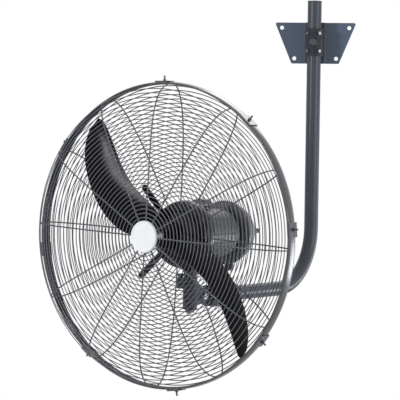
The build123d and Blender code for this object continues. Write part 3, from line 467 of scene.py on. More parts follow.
def sand_cast(recipe, colour, tone):
    """Paint over a sand casting: coarse grain, small pits and softly uneven colour."""
    colour = colour * tone
    grain, lumps = recipe.noise(CAST_GRAIN, 3.0, 0.6), recipe.noise(CAST_LUMP, 2.0)
    pits = recipe.spread(recipe.noise(CAST_PIT, 1.0), 0.62, 0.74)
    lying = recipe.facing_up() ** DUST_POWER * recipe.spread(lumps, 0.4, 0.7) * CAST_DUST
    recipe.set(
        Base_Color=recipe.mix(recipe.mix(colour * 0.8, colour * 1.25, lumps), DUST, lying),
        Roughness=(0.44 + grain * 0.14 + lying).clipped(),
        Normal=recipe.relief(grain + lumps * 1.5 - pits * 0.8, 0.25 * MM), Specular_IOR_Level=0.12)


def bare_metal(recipe, colour, gloss, direction, streak=0.3 * MM, tone=1.0):
    """Plated or ground metal: fine streaks along the direction, blotches of dulled plating."""
    colour = colour * tone
    streaks = recipe.noise(streak, 2.0, where=recipe.stretched(direction, STREAK_RATIO))
    dull = recipe.spread(recipe.noise(BLOTCH, 3.0), 0.45, 0.75)
    recipe.set(
        Base_Color=recipe.mix(colour, colour * 0.62, dull * 0.5 + streaks * 0.25),
        Roughness=(gloss + dull * 0.15 + (streaks - 0.5) * 0.12).clipped(),
        Normal=recipe.relief(streaks, 0.03 * MM), Metallic=1.0)


def moulded(recipe, colour, gloss, tint=(1.0, 1.0, 1.0)):
    """Moulded plastic: a fine spark-eroded grain, faint flow clouds and duller scuffs."""
    colour = colour * tint
    flow, grain = recipe.noise(MOULD_FLOW, 2.0), recipe.noise(MOULD_GRAIN, 2.0)
    scuffs = recipe.spread(recipe.noise(MOULD_SCUFF, 4.0, 0.7), 0.62, 0.8)
    recipe.set(
        Base_Color=recipe.mix(colour * 0.95, colour * 1.04, flow),
        Roughness=(gloss + (flow - 0.5) * 0.1 + scuffs * 0.12).clipped(),
        Normal=recipe.relief(grain + flow * 2.0, 0.03 * MM), Specular_IOR_Level=0.5)


def laminated(recipe, colour):
    """Stacked core sheets: a dark line between neighbouring sheets along the shaft, and a little rust."""
    lines = recipe.spread((recipe.along(ALONG) * (TURN / SHEET_PITCH)).sine(), 0.4, 0.9)
    rust = recipe.noise(RUST_PATCH, 4.0)
    recipe.set(
        Base_Color=recipe.mix(colour, SHEET_GAP, (lines * 0.7 + rust * 0.2).clipped()),
        Roughness=(0.5 + rust * 0.2).clipped(), Metallic=0.8,
        Normal=recipe.relief(1.0 - lines, 0.15 * MM))


def wound(recipe, colour):
    """Varnished copper turns: rounded strands across the shaft under an amber varnish, with painted shade in the
    grooves between strands.
    """
    strands = (recipe.along(ALONG) * (TURN / STRAND_PITCH)).sine() * 0.5 + 0.5
    varnish = recipe.noise(VARNISH_PATCH, 3.0)
    # painted shade: the colour falls to half in the grooves between strands
    recipe.set(
        Base_Color=recipe.mix(colour * 0.5, colour, (strands * 0.6 + varnish * 0.4).clipped()),
        Roughness=(0.28 + varnish * 0.2).clipped(), Metallic=0.7,
        Normal=recipe.relief(strands, 0.3 * MM))


# painted light: the wall plate made paler and bluer, for the extra light that falls on it
PLATE_PAINTED_LIGHT = (TO_WALL, -12 * MM, (1.8, 2.0, 2.3))  # the wall plate, paler and bluer
REAR_DARKER = (ALONG, HEAD[:3, 3] @ np.asarray(ALONG), (0.6, 0.6, 0.6))  # the rear guard, darker
FINISHES = {
    # slot: what it covers, how it is made, and the maker's settings
    # frame_paint: the wall plate's paler, bluer colour is painted light
    "frame_paint": ("Tube, plate and channel", painted, dict(
        gloss=0.34, peel=1.8 * MM, depth=0.1 * MM, dust=0.06, shine=0.22, tone=0.62, zone_tint=PLATE_PAINTED_LIGHT)),
    "cast_paint": ("Castings", sand_cast, dict(tone=0.55)),
    "zinc_steel": ("Plated fasteners", bare_metal, dict(gloss=0.34, direction=UP, tone=0.2)),
    "ground_steel": ("Shaft and pivot pin", bare_metal, dict(gloss=0.22, direction=ALONG)),
    "bearing_steel": ("Ball bearings", bare_metal, dict(gloss=0.16, direction=ALONG)),
    "bronze": ("Pivot bushes", bare_metal, dict(gloss=0.34, direction=UP)),
    "link_steel": ("Crank, link and dark screws", bare_metal, dict(
        gloss=0.42, direction=ALONG, streak=0.6 * MM, tone=0.25)),
    "black_paint": ("Bell, gear case, stays", painted, dict(gloss=0.26, dust=0.02, shine=0.25, tone=0.4)),
    "motor_paint": ("Motor shell", painted, dict(
        gloss=0.46, peel=1.2 * MM, depth=0.16 * MM, dust=0.05, shine=0.5, tone=1.8)),
    "cover_paint": ("Rear cover", painted, dict(gloss=0.4, peel=2.2 * MM, dust=0.05, shine=0.6, tone=1.35)),
    "blade_paint": ("Propeller", painted, dict(
        gloss=0.18, peel=4 * MM, depth=0.06 * MM, dust=0.01, shine=0.08, tone=0.1)),
    "guard_wire": ("Guard wires", painted, dict(
        gloss=0.26, peel=0.9 * MM, depth=0.04 * MM, dust=0.05, shine=0.5, tone=0.9, zone_tint=REAR_DARKER)),
    "band_paint": ("Rim band and clips", painted, dict(
        gloss=0.22, depth=0.05 * MM, coat=0.5, coat_gloss=0.2, shine=0.15, tone=0.8)),
    "cap_white": ("Centre cap and its plate", moulded, dict(gloss=0.34, tint=(0.99, 1.035, 1.05))),
    "capacitor_case": ("Capacitor", moulded, dict(gloss=0.42)),
    "plug_plastic": ("Tube plug", moulded, dict(gloss=0.55)),
    "knob_plastic": ("Oscillation knob", moulded, dict(gloss=0.45)),
    "core_steel": ("Stator and rotor sheets", laminated, {}),
    "copper_winding": ("End turns", wound, {}),
}


def finish(slot):
    """The material for a slot, made once from the colour in the paint settings.

    Its name is longer than the slot's, because the frame's plain materials have the slots' names."""
    name = f"{slot}_finish"
    made = bpy.data.materials.get(name)
    if made is None:
        recipe = Recipe(name)
        _, maker, settings = FINISHES[slot]
        maker(recipe, np.array(getattr(bpy.context.scene.wall_fan_paint, slot)), **settings)
        made = recipe.material
    return made


# ---- settings
def size(label, description, default):
    """A length setting."""
    return FloatProperty(
        name=label, description=description, default=default, min=0.0, soft_max=1.0,
        precision=4, unit="LENGTH", subtype="DISTANCE")


def power(label, description, default):
    """A lamp's power setting."""
    return FloatProperty(name=label, description=description, default=default, min=0.0, unit="POWER")


def paint(slot, description):
    """A colour setting for one material slot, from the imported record."""
    return FloatVectorProperty(
        name=slot.replace("_", " ").capitalize(), description=description, default=SLOT_COLOURS[slot],
        min=0.0, max=1.0, size=3, subtype="COLOR")


class GrilleSizes(bpy.types.PropertyGroup):
    """Wires of the two guards."""

    ring_wire: size("Ring wire", "Diameter of the concentric wires", 2.5 * MM)
    rib_wire: size("Rib wire", "Diameter of the radial wires", 3.4 * MM)
    ring_pitch: size("Ring pitch", "Radial distance between neighbouring rings", 10.4 * MM)
    ribs: IntProperty(name="Ribs", description="Radial wires in each guard", default=12, min=3, max=48)
    rib_phase: FloatProperty(
        name="Rib phase", description="First rib's angle from level", default=np.radians(-3.0),
        subtype="ANGLE", unit="ROTATION")


class PaintColours(bpy.types.PropertyGroup):
    """Base colours by material slot."""

    __annotations__ = {slot: paint(slot, covers) for slot, (covers, _, _) in FINISHES.items()}


class StudioSettings(bpy.types.PropertyGroup):
    """Floor and lamps."""

    floor_drop: size("Floor drop", "Floor below the lowest point of the fan", 0.35)
    floor_side: size("Floor side", "Side of the square floor", 4.0)
    key_power: power("Key lamp", "Power of the lamp at the front left", 80.0)
    side_power: power("Side lamp", "Power of the lamp at the front right", 45.0)
    back_power: power("Back lamp", "Power of the lamp above and behind", 40.0)
    strip_power: power("Strip lamp", "Power of the lamp low on the right, behind the guard's rim", 18.0)
    sky: FloatProperty(
        name="Sky light", description="Strength of the even light from all round", default=0.45, min=0.0)


# ---- wall bracket
PLATE_EDGE, CHANNEL_EDGE = 0.8 * MM, 1.4 * MM
BEAD_R, BEAD_RIPPLE = 2.2 * MM, 2.6 * MM
BEAD_SWELL = 0.14  # how far a ripple stands out, over the bead's radius
BEAD_POINTS = 6  # along each ripple
BEAD_TIP = 0.35  # sectional area of the bead's tips over the full one
BEAD_FADE = 24  # each tip's thinning takes one part in this many of the length
BEAD_CREASE = 60.0  # degrees
BEAD_INSET = 2 * MM  # from the channel's ends
BEAD_OUT, BEAD_SINK = 0.4 * MM, 0.8 * MM  # middle line beside the channel, and off the plate's face


def weld_bead(start, end, flat):
    """Weld along a straight corner: a wire that swells once per ripple and thins towards both tips."""
    start, end = np.asarray(start, float), np.asarray(end, float)
    length = np.linalg.norm(end - start)
    t = np.linspace(0, 1, int(length / BEAD_RIPPLE * BEAD_POINTS))
    radius = BEAD_R * (1 + BEAD_SWELL * np.sin(TURN * t * length / BEAD_RIPPLE))
    radius *= np.clip(np.minimum(t, 1 - t) * BEAD_FADE, BEAD_TIP, 1) ** 0.5
    return wire(start + (end - start) * t[:, None], flat, radius, sides=8)


class WALLFAN_OT_bracket(bpy.types.Operator):
    """Wall plate, channel, collar and the welds between plate and channel"""

    bl_idname = "wall_fan.bracket"
    bl_label = "Wall bracket"

    def execute(self, context):
        machined("wall_plate", "wall_plate_steel", PLATE_EDGE)
        machined("saddle_channel", "saddle_channel_steel", CHANNEL_EDGE)
        cast("pole_collar", grain=1.0 * MM, passes=5)
        low, high = reach("saddle_channel", WALL)
        y = reach("wall_plate", WALL)[0][1] - BEAD_SINK
        beads = [
            weld_bead((x, y, low[2] + BEAD_INSET), (x, y, high[2] - BEAD_INSET), (1, 0, 0))
            for x in (low[0] - BEAD_OUT, high[0] + BEAD_OUT)]
        fit("bracket_welds", closed_mesh(gather(*beads), WALL, BEAD_CREASE), "frame_paint", "wall_bracket")
        return {"FINISHED"}


# ---- arm
TUBE_WALL = 2.5 * MM
TUBE_SIDES = 72
BEND_R = 160 * MM
UPRIGHT_ROWS, BEND_ROWS, LEVEL_ROWS = 24, 40, 20
PLUG_LIP = 3  # the plug's rim above the tube's end (mm)


def bent_path():
    """Middle line of the tube: upright run, quarter circle of radius BEND_R, level run towards the room."""
    low, high = reach("arm_tube", ARM)
    r = (high[0] - low[0]) / 2
    drop, end = low[2] + r, low[1]
    angle = np.linspace(0, np.pi / 2, BEND_ROWS)
    down = np.linspace(high[2], drop + BEND_R, UPRIGHT_ROWS, endpoint=False)
    out = np.linspace(-BEND_R, end, LEVEL_ROWS)[1:]
    upright = np.stack([0 * down, 0 * down, down], -1)
    bend = np.stack([0 * angle, BEND_R * (np.cos(angle) - 1), drop + BEND_R * (1 - np.sin(angle))], -1)
    level = np.stack([0 * out, out, 0 * out + drop], -1)
    return np.concatenate([upright, bend, level]), r


def tube(path, flat, outer, inner):
    """Pipe with a bore: rows run down the outside and come back up the inside, so its ends are ring faces."""
    skin, bore = (
        wire(path, flat, r, TUBE_SIDES)[0].reshape(-1, TUBE_SIDES, 3)[1:-1] for r in (outer, inner))
    return grid(np.concatenate([skin, bore[::-1]]), True, True)


class WALLFAN_OT_arm(bpy.types.Operator):
    """Bent tube arm, the plug in its upper end and the socket on its lower one"""

    bl_idname = "wall_fan.arm"
    bl_label = "Tube arm"

    def execute(self, context):
        path, r = bent_path()
        form("bent_tube", tube(path, (1, 0, 0), r, r - TUBE_WALL), ARM, "arm_tube")
        bottom, top = (corner[2] / MM for corner in reach("tube_end_plug", ARM))
        rim, bore = r / MM, (r - TUBE_WALL) / MM
        plug = lathe([
            (0, top, 0), (rim, top, 2), (rim, top - PLUG_LIP, 0.4), (bore, top - PLUG_LIP, 0.2),
            (bore, bottom, 0.8), (0, bottom, 0)], TUBE_SIDES)
        upright = ARM.copy()
        upright[:3, 1], upright[:3, 2] = ARM[:3, 2], -ARM[:3, 1]
        form("tube_plug", plug, upright, "tube_end_plug")
        cast("tilt_socket", grain=1.0 * MM, passes=6)
        return {"FINISHED"}


# ---- neck, foot and linkage
class WALLFAN_OT_neck(bpy.types.Operator):
    """Tilting yoke, motor foot, gear case, pivot pin and the oscillation linkage"""

    bl_idname = "wall_fan.neck"
    bl_label = "Neck and linkage"

    def execute(self, context):
        cast("tilt_yoke", grain=1.0 * MM, passes=6)
        cast("motor_foot", grain=1.2 * MM, passes=6)
        cast("gear_case", grain=1.4 * MM, passes=5)
        for node, edge in (("crank_arm", 0.8), ("link_rod", 0.6), ("lever_pin", 0.4), ("pivot_pin", 0.6)):
            machined(node, f"{node}_turned", edge * MM)
        return {"FINISHED"}


# ---- motor
LARGE_STEPS, SMALL_STEPS, KNOB_STEPS = 128, 64, 48  # points once round a piece
SPUN_ARC = 7  # points on each corner of a spun piece
BELL_OUTLINE = [
    # radius, back, corner cut (mm)
    (9.5, 48, 0.6), (27, 48, 4), (57, 64, 3), (60, 70, 2), (82.3, 70, 3), (86, 84, 5), (86, 98, 2),
    (62, 102, 1), (59, 102, 0.5), (17.6, 63, 1), (17.6, 51, 0.5), (9.5, 51, 0.5)]
COVER_OUTLINE = [
    # radius, back, corner cut (mm); the front face is turned in as far as the gear case
    (52.8, 258, 0.5), (82, 258, 1.5), (82, 267, 2.5), (79, 267.5, 1), (72.5, 294, 12), (55, 320, 14),
    (24, 363, 13), (3.9, 364, 0.5), (3.9, 362, 0.2), (22.6, 361, 12), (53.4, 318.4, 13.5),
    (70.4, 293.6, 11.5), (77, 260, 1), (52.8, 260, 0.5)]
CRANK_SLOT = np.array([(-14, 271, -90), (14, 299, -52)]) * MM  # opposite corners of the cover's opening
SHELL_R, SHELL_WALL, SHELL_COLUMNS = 62 * MM, 3 * MM, 1080
SHELL_EDGE = 0.6 * MM  # round on the shell's two outer edges
RIB_SIDE = 20.0 * np.arange(-2, 3)  # ribs on one side, from level (degrees)
RIB_TURNS = np.radians(np.concatenate([RIB_SIDE, 180.0 + RIB_SIDE]))
RIB_RISE, RIB_HALF, RIB_FLANK = 5 * MM, 1.2 * MM, 1.0 * MM
RIB_INSET = 6 * MM  # from the shell's ends
RIB_END = 1.2 * MM  # a rib's steep end
STEM_R, BOSS_BORE = 3.5, 3.6  # the knob's stem and the hole it slides in (mm)


def ribbed_shell(front, back):
    """Motor shell about the Y axis with cooling ribs.

    Outside, at angle a and place y, the radius is R + rise * f(a) * g(y): f is 1 on a rib's crest and
    falls to 0 over its flank, g is 1 between the ribs' ends and falls to 0 beyond them."""
    angle = around(SHELL_COLUMNS)
    away = np.abs((angle[:, None] - RIB_TURNS + np.pi) % TURN - np.pi).min(1) * SHELL_R
    crest = np.clip((RIB_HALF + RIB_FLANK - away) / RIB_FLANK, 0, 1)
    y = np.array([front, front + SHELL_EDGE, front + RIB_INSET - RIB_END, front + RIB_INSET,
                  front + RIB_INSET + 2 * MM])
    y = np.concatenate([y, (front + back) - y[::-1]])
    fall = np.array([0, 0, 0, 0.8, 1])
    crest = np.concatenate([fall, fall[::-1]])[:, None] * (crest ** 2 * (3 - 2 * crest))[None, :]
    edge = np.concatenate([[SHELL_EDGE], np.zeros(8), [SHELL_EDGE]])[:, None]
    outside = SHELL_R - edge + RIB_RISE * crest
    rows = np.concatenate([outside, np.full((2, len(angle)), SHELL_R - SHELL_WALL)])
    places = np.concatenate([y, [back, front]])[:, None]
    points = np.broadcast_arrays(rows * np.cos(angle), places, rows * np.sin(angle))
    return grid(np.stack(points, -1), True, True)


def slot_cut(part, place, box):
    """Mesh of a (points, quads) pair less the box between two corners of its place, by an exact Boolean."""
    ends = np.array(list(np.ndindex(2, 2, 2)))
    quads = np.array([[0, 1, 3, 2], [4, 6, 7, 5], [0, 4, 5, 1], [2, 3, 7, 6], [0, 2, 6, 4], [1, 5, 7, 3]])
    tool = add("tool", closed_mesh((box[ends, [0, 1, 2]], quads), place))
    done = settled(closed_mesh(part, place), ("BOOLEAN", {
        "operation": "DIFFERENCE", "solver": "EXACT", "object": tool}))
    bpy.data.objects.remove(tool)
    return done


def capacitor_can():
    """Round can with a stepped-in back end, and its place on top of the motor."""
    low, high = reach("capacitor", HEAD)
    r, front, back = (high[0] - low[0]) / 2 / MM, low[1] / MM, high[1] / MM
    step, neck = back - 4, r - 1.2
    on_top = HEAD.copy()
    on_top[:3, 3] += HEAD[:3, 2] * (low[2] + high[2]) / 2
    can = lathe([
        (0, front, 0), (r, front, 1.6), (r, step, 0.8), (neck, step, 0.3), (neck, back, 1), (0, back, 0)],
        SMALL_STEPS)
    return can, on_top


def knob_boss():
    """Boss behind the cover that the knob's stem slides in."""
    r, front, back = turned_size("knob_collar")
    return lathe([
        (BOSS_BORE, front, 0.2), (r, front, 0.8), (r, back - 5, 2), (r - 2, back, 1), (BOSS_BORE, back, 0.3)],
        SMALL_STEPS)


def knob():
    """Stem and round grip with one shallow groove, just clear of its boss."""
    face = turned_size("knob_collar")[2] + 0.4
    r, front, back = turned_size("clutch_knob")
    return lathe([
        (0, front, 0), (STEM_R, front, 0.5), (STEM_R, face, 0.2), (r, face, 0.8), (r, back - 12, 1.5),
        (r - 1.3, back - 9, 1.5), (r, back - 6, 1.5), (r - 0.6, back, 2.5), (0, back, 0)],
        KNOB_STEPS)


class WALLFAN_OT_motor(bpy.types.Operator):
    """Front bell, motor shell, capacitor, rear cover and knob"""

    bl_idname = "wall_fan.motor"
    bl_label = "Motor"

    def execute(self, context):
        form("bell_spun", lathe(BELL_OUTLINE, LARGE_STEPS, SPUN_ARC), HEAD, "front_bell")
        low, high = reach("motor_shell", HEAD)
        form("motor_shell_casting", ribbed_shell(low[1], high[1]), HEAD, "motor_shell")
        cover = slot_cut(lathe(COVER_OUTLINE, LARGE_STEPS, SPUN_ARC), HEAD, CRANK_SLOT)
        stand_in("cover_pressing", soften(cover, FORM_CREASE), "rear_cover")
        form("capacitor_can", *capacitor_can(), "capacitor")
        machined("capacitor_clamp", "capacitor_strap", 0.4 * MM)
        form("knob_boss", knob_boss(), HEAD, "knob_collar", "cover_paint")
        form("oscillation_knob", knob(), HEAD, "clutch_knob")
        return {"FINISHED"}


# ---- propeller
BLADE_ANGLES = np.radians([140.0, 320.0])
BLADE_CAMBER = 0.07
BLADE_THICKNESS = 3 * MM
BLADE_EDGE = 0.3  # how blunt the section's edges are: 1 would be sharp
BLADE_CREASE = 70.0  # degrees
BLADE_ROWS, BLADE_COLUMNS = 120, 72  # points along the span and round the section
BLADE_STATIONS = np.array([
    # out along the span, then front edge: across, back, and rear edge: across, back (mm)
    (24, 29, 0, -16, 26),
    (62, 56, -9, -16, 31),
    (105, 73, -14, -15, 33),
    (165, 76, -14, -15, 31),
    (227, 64, -9, -30, 30),
    (283, 39, -4, -54, 29),
    (322, 9, 1, -72, 26),
    (344, -19, 7, -79, 22),
    (356, -44, 12, -76, 18)]) * MM
HUB_BORE, HUB_SEAT = 8, 15  # radii of the shaft's hole and the nut's seat (mm)


def blade():
    """Pressed blade: a smooth curve through the stations carries an arched section with rolled edges.

    At chord place c in [-1, 1] the section's middle is m + c h + n k (1 - c^2), with m the chord's
    middle, h its half, n its normal and k the camber; the two faces stand off it by
    (T/4)(2 - c^2) |sin b|^BLADE_EDGE, where c = cos b goes once round the section."""
    rows = smooth_line(BLADE_STATIONS, BLADE_ROWS)
    out, front, rear = rows[:, 0], rows[:, 1:3], rows[:, 3:5]
    middle, half = (front + rear) / 2, (front - rear) / 2
    chord = 2 * np.linalg.norm(half, axis=1, keepdims=True)
    normal = np.stack([-half[:, 1], half[:, 0]], -1) * 2 / chord
    b = around(BLADE_COLUMNS)
    c = np.cos(b)[None, :, None]
    side = np.sign(np.sin(b)) * np.abs(np.sin(b)) ** BLADE_EDGE
    stand = BLADE_THICKNESS / 4 * (2 - np.cos(b) ** 2) * side
    arch = BLADE_CAMBER * chord[:, None] * (1 - c ** 2) + stand[None, :, None]
    flat = middle[:, None] + c * half[:, None] + arch * normal[:, None]
    span = np.broadcast_to(out[:, None], flat.shape[:2])
    points = np.stack([span, flat[..., 1], flat[..., 0]], -1)
    return capped(points, [points[0].mean(0), points[-1].mean(0)])


def hub():
    """Cast hub, stepped down in front to the nut's seat."""
    r, front, back = turned_size("propeller_hub")
    return lathe([
        (HUB_BORE, front, 0.3), (HUB_SEAT, front, 1), (HUB_SEAT + 2, front + 3, 2), (r - 5, front + 5, 3),
        (r, front + 12, 5), (r, back, 1), (HUB_BORE, back, 0.3)])


class WALLFAN_OT_propeller(bpy.types.Operator):
    """Hub, the two blades, the shaft and its nut"""

    bl_idname = "wall_fan.propeller"
    bl_label = "Propeller"

    def execute(self, context):
        form("hub_casting", hub(), HEAD, "propeller_hub", "blade_paint")
        for number, angle in enumerate(BLADE_ANGLES, start=1):
            form(f"blade_pressing_{number}", round_shaft(blade(), [angle]), HEAD, f"propeller_blade_{number}",
                 crease=BLADE_CREASE)
        machined("shaft_nut", "shaft_nut_plated", 0.8 * MM)
        machined("motor_shaft", "motor_shaft_ground", 0.6 * MM)
        return {"FINISHED"}


# ---- guard
RIM_R = 374.1 * MM
RIM_WIRE = 5 * MM
RIM_PLACE = 4 * MM  # each guard's rim wire from the guard's middle plane
WIRE_CREASE = 80.0  # degrees
WELD = 0.25 * MM  # wires sink into each other by this
SHOULDER = 60 * MM  # how much closer a rib's points stand where it bends
RIB_POINTS, FINE_POINTS = 72, 4000  # kept along a rib, and first taken
# A guard's side of the middle plane, how square its ribs' shoulder is (2 would be an ellipse), and the
# radii where its ribs and its rings start
FRONT_GUARD = (-1, 8, 22 * MM, 47 * MM)
REAR_GUARD = (1, 4, 70.5 * MM, 97 * MM)
LAST_RING = RIM_R - 5 * MM
BAND_OUTLINE = [
    # radius, back, corner cut (mm): a channel with a crowned back and its lips rolled
    (376.8, -14.5, 2.4), (378.4, -8, 3.5), (379, 0, 3.5), (378.4, 8, 3.5), (376.8, 14.5, 2.4),
    (373, 14.5, 0.9), (373, 12.5, 0.9), (375.6, 12.5, 1.6), (377, 0, 5), (375.6, -12.5, 1.6),
    (373, -12.5, 0.9), (373, -14.5, 0.9)]
BAND_STEPS = 256
MOUNT_RING_WIDTH, MOUNT_RING_EDGE = 21, 0.8  # mm


def dome_path(inner, depth, power, way):
    """Middle line of a rib: (r/R)^power + (s/depth)^2 = 1, its points closer together where it bends.

    The curve is r = R sin(p)^(2/power), s = depth cos(p), first taken finely; the points kept are
    spaced evenly in length run plus SHOULDER times the angle turned."""
    start = np.arcsin((inner / RIM_R) ** (power / 2))
    p = start + (np.pi / 2 - start) * np.linspace(0, 1, FINE_POINTS) ** 4
    curve = np.stack([RIM_R * np.sin(p) ** (2 / power), RIM_PLACE + depth * np.cos(p)], -1)
    step = np.diff(curve, axis=0)
    heading = np.arctan2(-step[:, 1], step[:, 0])
    measure = np.concatenate([[0], np.cumsum(np.hypot(*step.T)) + SHOULDER * (heading - heading[0])])
    even = np.linspace(0, measure[-1], RIB_POINTS)
    r, s = (np.interp(even, measure, curve[:, k]) for k in (0, 1))
    return np.stack([r, way * s, 0 * r], -1)


def ring_places(first, pitch, depth, power, lift):
    """(radius, stand-off) of rings that lie on the outside of the ribs, one each pitch.

    The rib's outward normal at (r, s) is along (power / 2 * r^(power - 1) / R^power, s / depth^2)."""
    r = first + pitch * np.arange(int((LAST_RING - first) / pitch) + 1)
    s = depth * np.sqrt(1 - (r / RIM_R) ** power)
    normal = np.stack([power / 2 * (r / RIM_R) ** (power - 1) / RIM_R, s / depth ** 2], -1)
    normal /= np.linalg.norm(normal, axis=1, keepdims=True)
    return r + lift * normal[:, 0], s + lift * normal[:, 1]


def grille(sizes, seat, way, power, first_rib, first_ring):
    """One guard: rim wire, ribs bent to a dome that ends on its seat, and rings welded on their outside."""
    ring_r, rib_r = sizes.ring_wire / 2, sizes.rib_wire / 2
    depth = seat - rib_r - RIM_PLACE
    rib = wire(dome_path(first_rib, depth, power, way), (0, 0, 1), rib_r, sides=8)
    angles = sizes.rib_phase + TURN / sizes.ribs * np.arange(sizes.ribs)
    rings = ring_places(first_ring, sizes.ring_pitch, depth, power, lift=ring_r + rib_r - WELD)
    return gather(
        torus(RIM_R, way * RIM_PLACE, RIM_WIRE / 2, steps=144, sides=10),
        round_shaft(rib, angles),
        *(torus(r, way * (RIM_PLACE + s), ring_r, steps=120, sides=6) for r, s in zip(*rings)))


class WALLFAN_OT_guard(bpy.types.Operator):
    """Front and rear guards, mount ring and stays, rim band and its clips"""

    bl_idname = "wall_fan.guard"
    bl_label = "Guard"

    def execute(self, context):
        sizes = context.scene.wall_fan_grille
        cap_seat = -reach("centre_cap", HEAD)[1][1]
        ring_face = reach("guard_mount_ring", HEAD)[0][1]
        for name, seat, guard in (("front", cap_seat, FRONT_GUARD), ("rear", ring_face, REAR_GUARD)):
            form(f"{name}_grille", grille(sizes, seat, *guard), HEAD, f"{name}_guard", crease=WIRE_CREASE)
        outer, front, back = turned_size("guard_mount_ring")
        inner = outer - MOUNT_RING_WIDTH
        corners = (inner, front), (outer, front), (outer, back), (inner, back)
        form("mount_ring_pressing", lathe([(*corner, MOUNT_RING_EDGE) for corner in corners]), HEAD,
             "guard_mount_ring")
        form("rolled_band", lathe(BAND_OUTLINE, BAND_STEPS, SPUN_ARC), HEAD, "rim_band")
        machined("guard_stays", "stay_bars", 0.6 * MM)
        machined("rim_clips", "band_clips", 0.5 * MM)
        machined("cap_plate", "cap_backing", 0.4 * MM)
        return {"FINISHED"}


class WALLFAN_OT_cap(bpy.types.Operator):
    """Plain moulded cap on the front guard's middle"""

    bl_idname = "wall_fan.cap"
    bl_label = "Centre cap"

    def execute(self, context):
        r, front, back = turned_size("centre_cap")
        cap = lathe([
            (0, back, 0), (r, back, 0.5), (r, front + 3, 2), (r - 2.6, front, 1.6),
            (r - 5.5, front + 0.2, 1.2), (r - 7.5, front + 1.5, 1.6), (r * 0.5, front + 1, 8),
            (0, front + 0.75, 0)], LARGE_STEPS)
        form("cap_moulding", cap, HEAD, "centre_cap")
        return {"FINISHED"}


# ---- fasteners and inner parts
class WALLFAN_OT_fasteners(bpy.types.Operator):
    """Screws, bolts, nuts and washers with broken edges"""

    bl_idname = "wall_fan.fasteners"
    bl_label = "Fasteners"

    def execute(self, context):
        for node in ("collar_set_screws", "lock_bolt", "socket_screws", "tilt_bolt", "tilt_nut",
                     "tilt_washers", "pin_retainer", "foot_bolts", "guard_mount_screws", "clip_screws"):
            machined(node, f"{node}_plated", 0.5 * MM)
        return {"FINISHED"}


class WALLFAN_OT_inner(bpy.types.Operator):
    """Finishes for the pieces inside the motor and the pivot, whose CAD shapes are right"""

    bl_idname = "wall_fan.inner"
    bl_label = "Inner parts"

    def execute(self, context):
        for node in ("stator_core", "stator_windings", "shaft_bearings", "rotor_core", "pivot_bushes"):
            mesh = frame["nodes"][node].data
            mesh.materials.clear()
            mesh.materials.append(finish(SLOTS[node]))
        return {"FINISHED"}


# ---- stage
CAMERA_AT = Vector((-0.2731, -0.3, -0.4258))
CAMERA_AWAY = 5.3421
CAMERA_YAW, CAMERA_PITCH, CAMERA_ROLL = np.radians([7.54, 1.93, 0.85])
CAMERA_NEAR, CAMERA_FAR = 0.05, 100.0
PHOTO_WIDTH, PHOTO_FOCAL = 400, 2038.2  # the photograph's width and focal length, in its own pixels
SENSOR = 36.0
LENS = SENSOR * PHOTO_FOCAL / PHOTO_WIDTH
FLOOR_POINTS = 9  # along each side of the floor
FAN_MIDDLE = (cad_box[0] + cad_box[1]) / 2
GUARD_EDGE = HEAD[:3, 3] + RIM_R * HEAD[:3, 0]  # the guard's right edge
LAMPS = [
    # name, place, target, width and height (m), colour, spread (degrees)
    ("key", (-2.8, -3.4, 0.45), FAN_MIDDLE, 0.6, 0.9, (0.96, 0.96, 1.0), 180),
    ("side", (3.2, -2.0, 0.0), FAN_MIDDLE, 0.7, 0.9, (0.97, 0.98, 1.0), 180),
    ("back", (0.6, 2.6, 2.2), FAN_MIDDLE, 1.8, 1.8, (1.0, 1.0, 1.0), 180),
    ("strip", GUARD_EDGE + (2.14, 1.29, -1.0), GUARD_EDGE, 1.8, 1.8, (0.93, 0.94, 1.0), 60)]


def aimed(name, data, place, target, roll=0.0):
    """A lamp or camera whose -Z points from its place to the target, rolled about that line."""
    made = add(name, data)
    turn = (Vector(target) - Vector(place)).to_track_quat("-Z", "Y").to_matrix().to_4x4()
    made.matrix_world = Matrix.Translation(place) @ turn @ Matrix.Rotation(roll, 4, "Z")
    return made


def lamp(watts, name, place, target, wide, high, colour, spread):
    """Area lamp whose light fans out over the spread."""
    data = bpy.data.lights.new(f"{name}_lamp", "AREA")
    data.shape, data.size, data.size_y, data.energy, data.color = "RECTANGLE", wide, high, watts, colour
    data.spread = np.radians(spread)
    aimed(f"{name}_lamp", data, place, target)


def photo_camera():
    """Camera at the photograph's angle: yaw about the vertical, pitch down, then roll about its own axis."""
    data = bpy.data.cameras.new("camera")
    data.sensor_width, data.lens = SENSOR, LENS
    data.clip_start, data.clip_end = CAMERA_NEAR, CAMERA_FAR
    level = np.cos(CAMERA_PITCH)
    ahead = Vector((-np.sin(CAMERA_YAW) * level, np.cos(CAMERA_YAW) * level, -np.sin(CAMERA_PITCH)))
    place = CAMERA_AT - ahead * CAMERA_AWAY
    bpy.context.scene.camera = aimed("camera", data, place, CAMERA_AT, CAMERA_ROLL)


def sky(strength):
    """White wherever it is seen, directly or in a reflection, and an even soft light on everything else."""
    world = bpy.data.worlds.new("studio")
    nodes = Nodes(world, "ShaderNodeBackground", "ShaderNodeOutputWorld")
    rays = nodes.node("ShaderNodeLightPath", {}, {}).socket.node.outputs
    seen, glossy, through = (
        Reading(nodes, rays[ray]) for ray in ("Is Camera Ray", "Is Glossy Ray", "Is Transmission Ray"))
    level = nodes.node("ShaderNodeMapRange", {}, {
        "Value": seen.or_higher(glossy).or_higher(through), "To Min": strength, "To Max": 1.0})
    nodes.set(Color=(1.0, 1.0, 1.0), Strength=level)
    bpy.context.scene.world = world


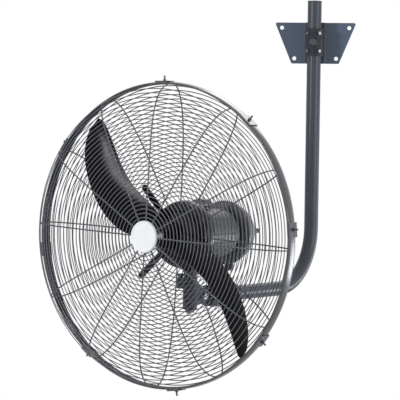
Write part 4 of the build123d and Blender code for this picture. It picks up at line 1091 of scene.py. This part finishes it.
def floor_sheet(side, height, centre):
    """Level square of pale paper."""
    span = np.linspace(-side / 2, side / 2, FLOOR_POINTS)
    x, y = np.meshgrid(span, span, indexing="ij")
    points, quads = grid(np.stack([x + centre.x, y + centre.y, 0 * x + height], -1))
    mesh = bpy.data.meshes.new("floor")
    mesh.from_pydata(points.tolist(), [], quads.tolist())
    recipe = Recipe("floor_paper")
    fibres = recipe.noise(30 * MM, 3.0)
    recipe.set(
        Base_Color=recipe.mix((0.8, 0.8, 0.8), (0.84, 0.84, 0.84), fibres),
        Roughness=0.85 + fibres * 0.1, Normal=recipe.relief(recipe.noise(2 * MM, 2.0), 0.1 * MM))
    mesh.materials.append(recipe.material)
    return add("floor", mesh)


class WALLFAN_OT_stage(bpy.types.Operator):
    """Pale floor, soft lamps, even sky and the camera"""

    bl_idname = "wall_fan.stage"
    bl_label = "Studio"

    def execute(self, context):
        studio = context.scene.wall_fan_studio
        floor = floor_sheet(studio.floor_side, cad_box[0].z - studio.floor_drop, FAN_MIDDLE)
        sky(studio.sky)
        for name, *rest in LAMPS:
            lamp(getattr(studio, f"{name}_power"), name, *rest)
        photo_camera()
        context.scene.view_settings.view_transform = "Standard"
        return {"FINISHED"}


# ---- panel and run
STEPS = (
    WALLFAN_OT_stage, WALLFAN_OT_bracket, WALLFAN_OT_arm, WALLFAN_OT_neck, WALLFAN_OT_motor,
    WALLFAN_OT_propeller, WALLFAN_OT_guard, WALLFAN_OT_cap, WALLFAN_OT_fasteners, WALLFAN_OT_inner)
SETTINGS = {
    "wall_fan_grille": GrilleSizes, "wall_fan_paint": PaintColours, "wall_fan_studio": StudioSettings}


class WALLFAN_PT_panel(bpy.types.Panel):
    """Lists the settings and one button per group of pieces"""

    bl_idname = "WALLFAN_PT_panel"
    bl_label = "Wall Fan"
    bl_space_type = "VIEW_3D"
    bl_region_type = "UI"
    bl_category = "Wall Fan"

    def draw(self, context):
        for step in STEPS:
            self.layout.operator(step.bl_idname)
        for name, kind in SETTINGS.items():
            box = self.layout.box()
            for key in kind.__annotations__:
                box.prop(getattr(context.scene, name), key)


CLASSES = (*SETTINGS.values(), *STEPS, WALLFAN_PT_panel)


def register():
    for kind in CLASSES:
        bpy.utils.register_class(kind)
    for name, kind in SETTINGS.items():
        setattr(bpy.types.Scene, name, PointerProperty(type=kind))


def unregister():
    for name in SETTINGS:
        delattr(bpy.types.Scene, name)
    for kind in reversed(CLASSES):
        bpy.utils.unregister_class(kind)


def main():
    """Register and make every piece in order."""
    register()
    for step in STEPS:
        group, name = step.bl_idname.split(".")
        getattr(getattr(bpy.ops, group), name)()
    bpy.context.view_layer.update()


if __name__ == "__main__":
    main()
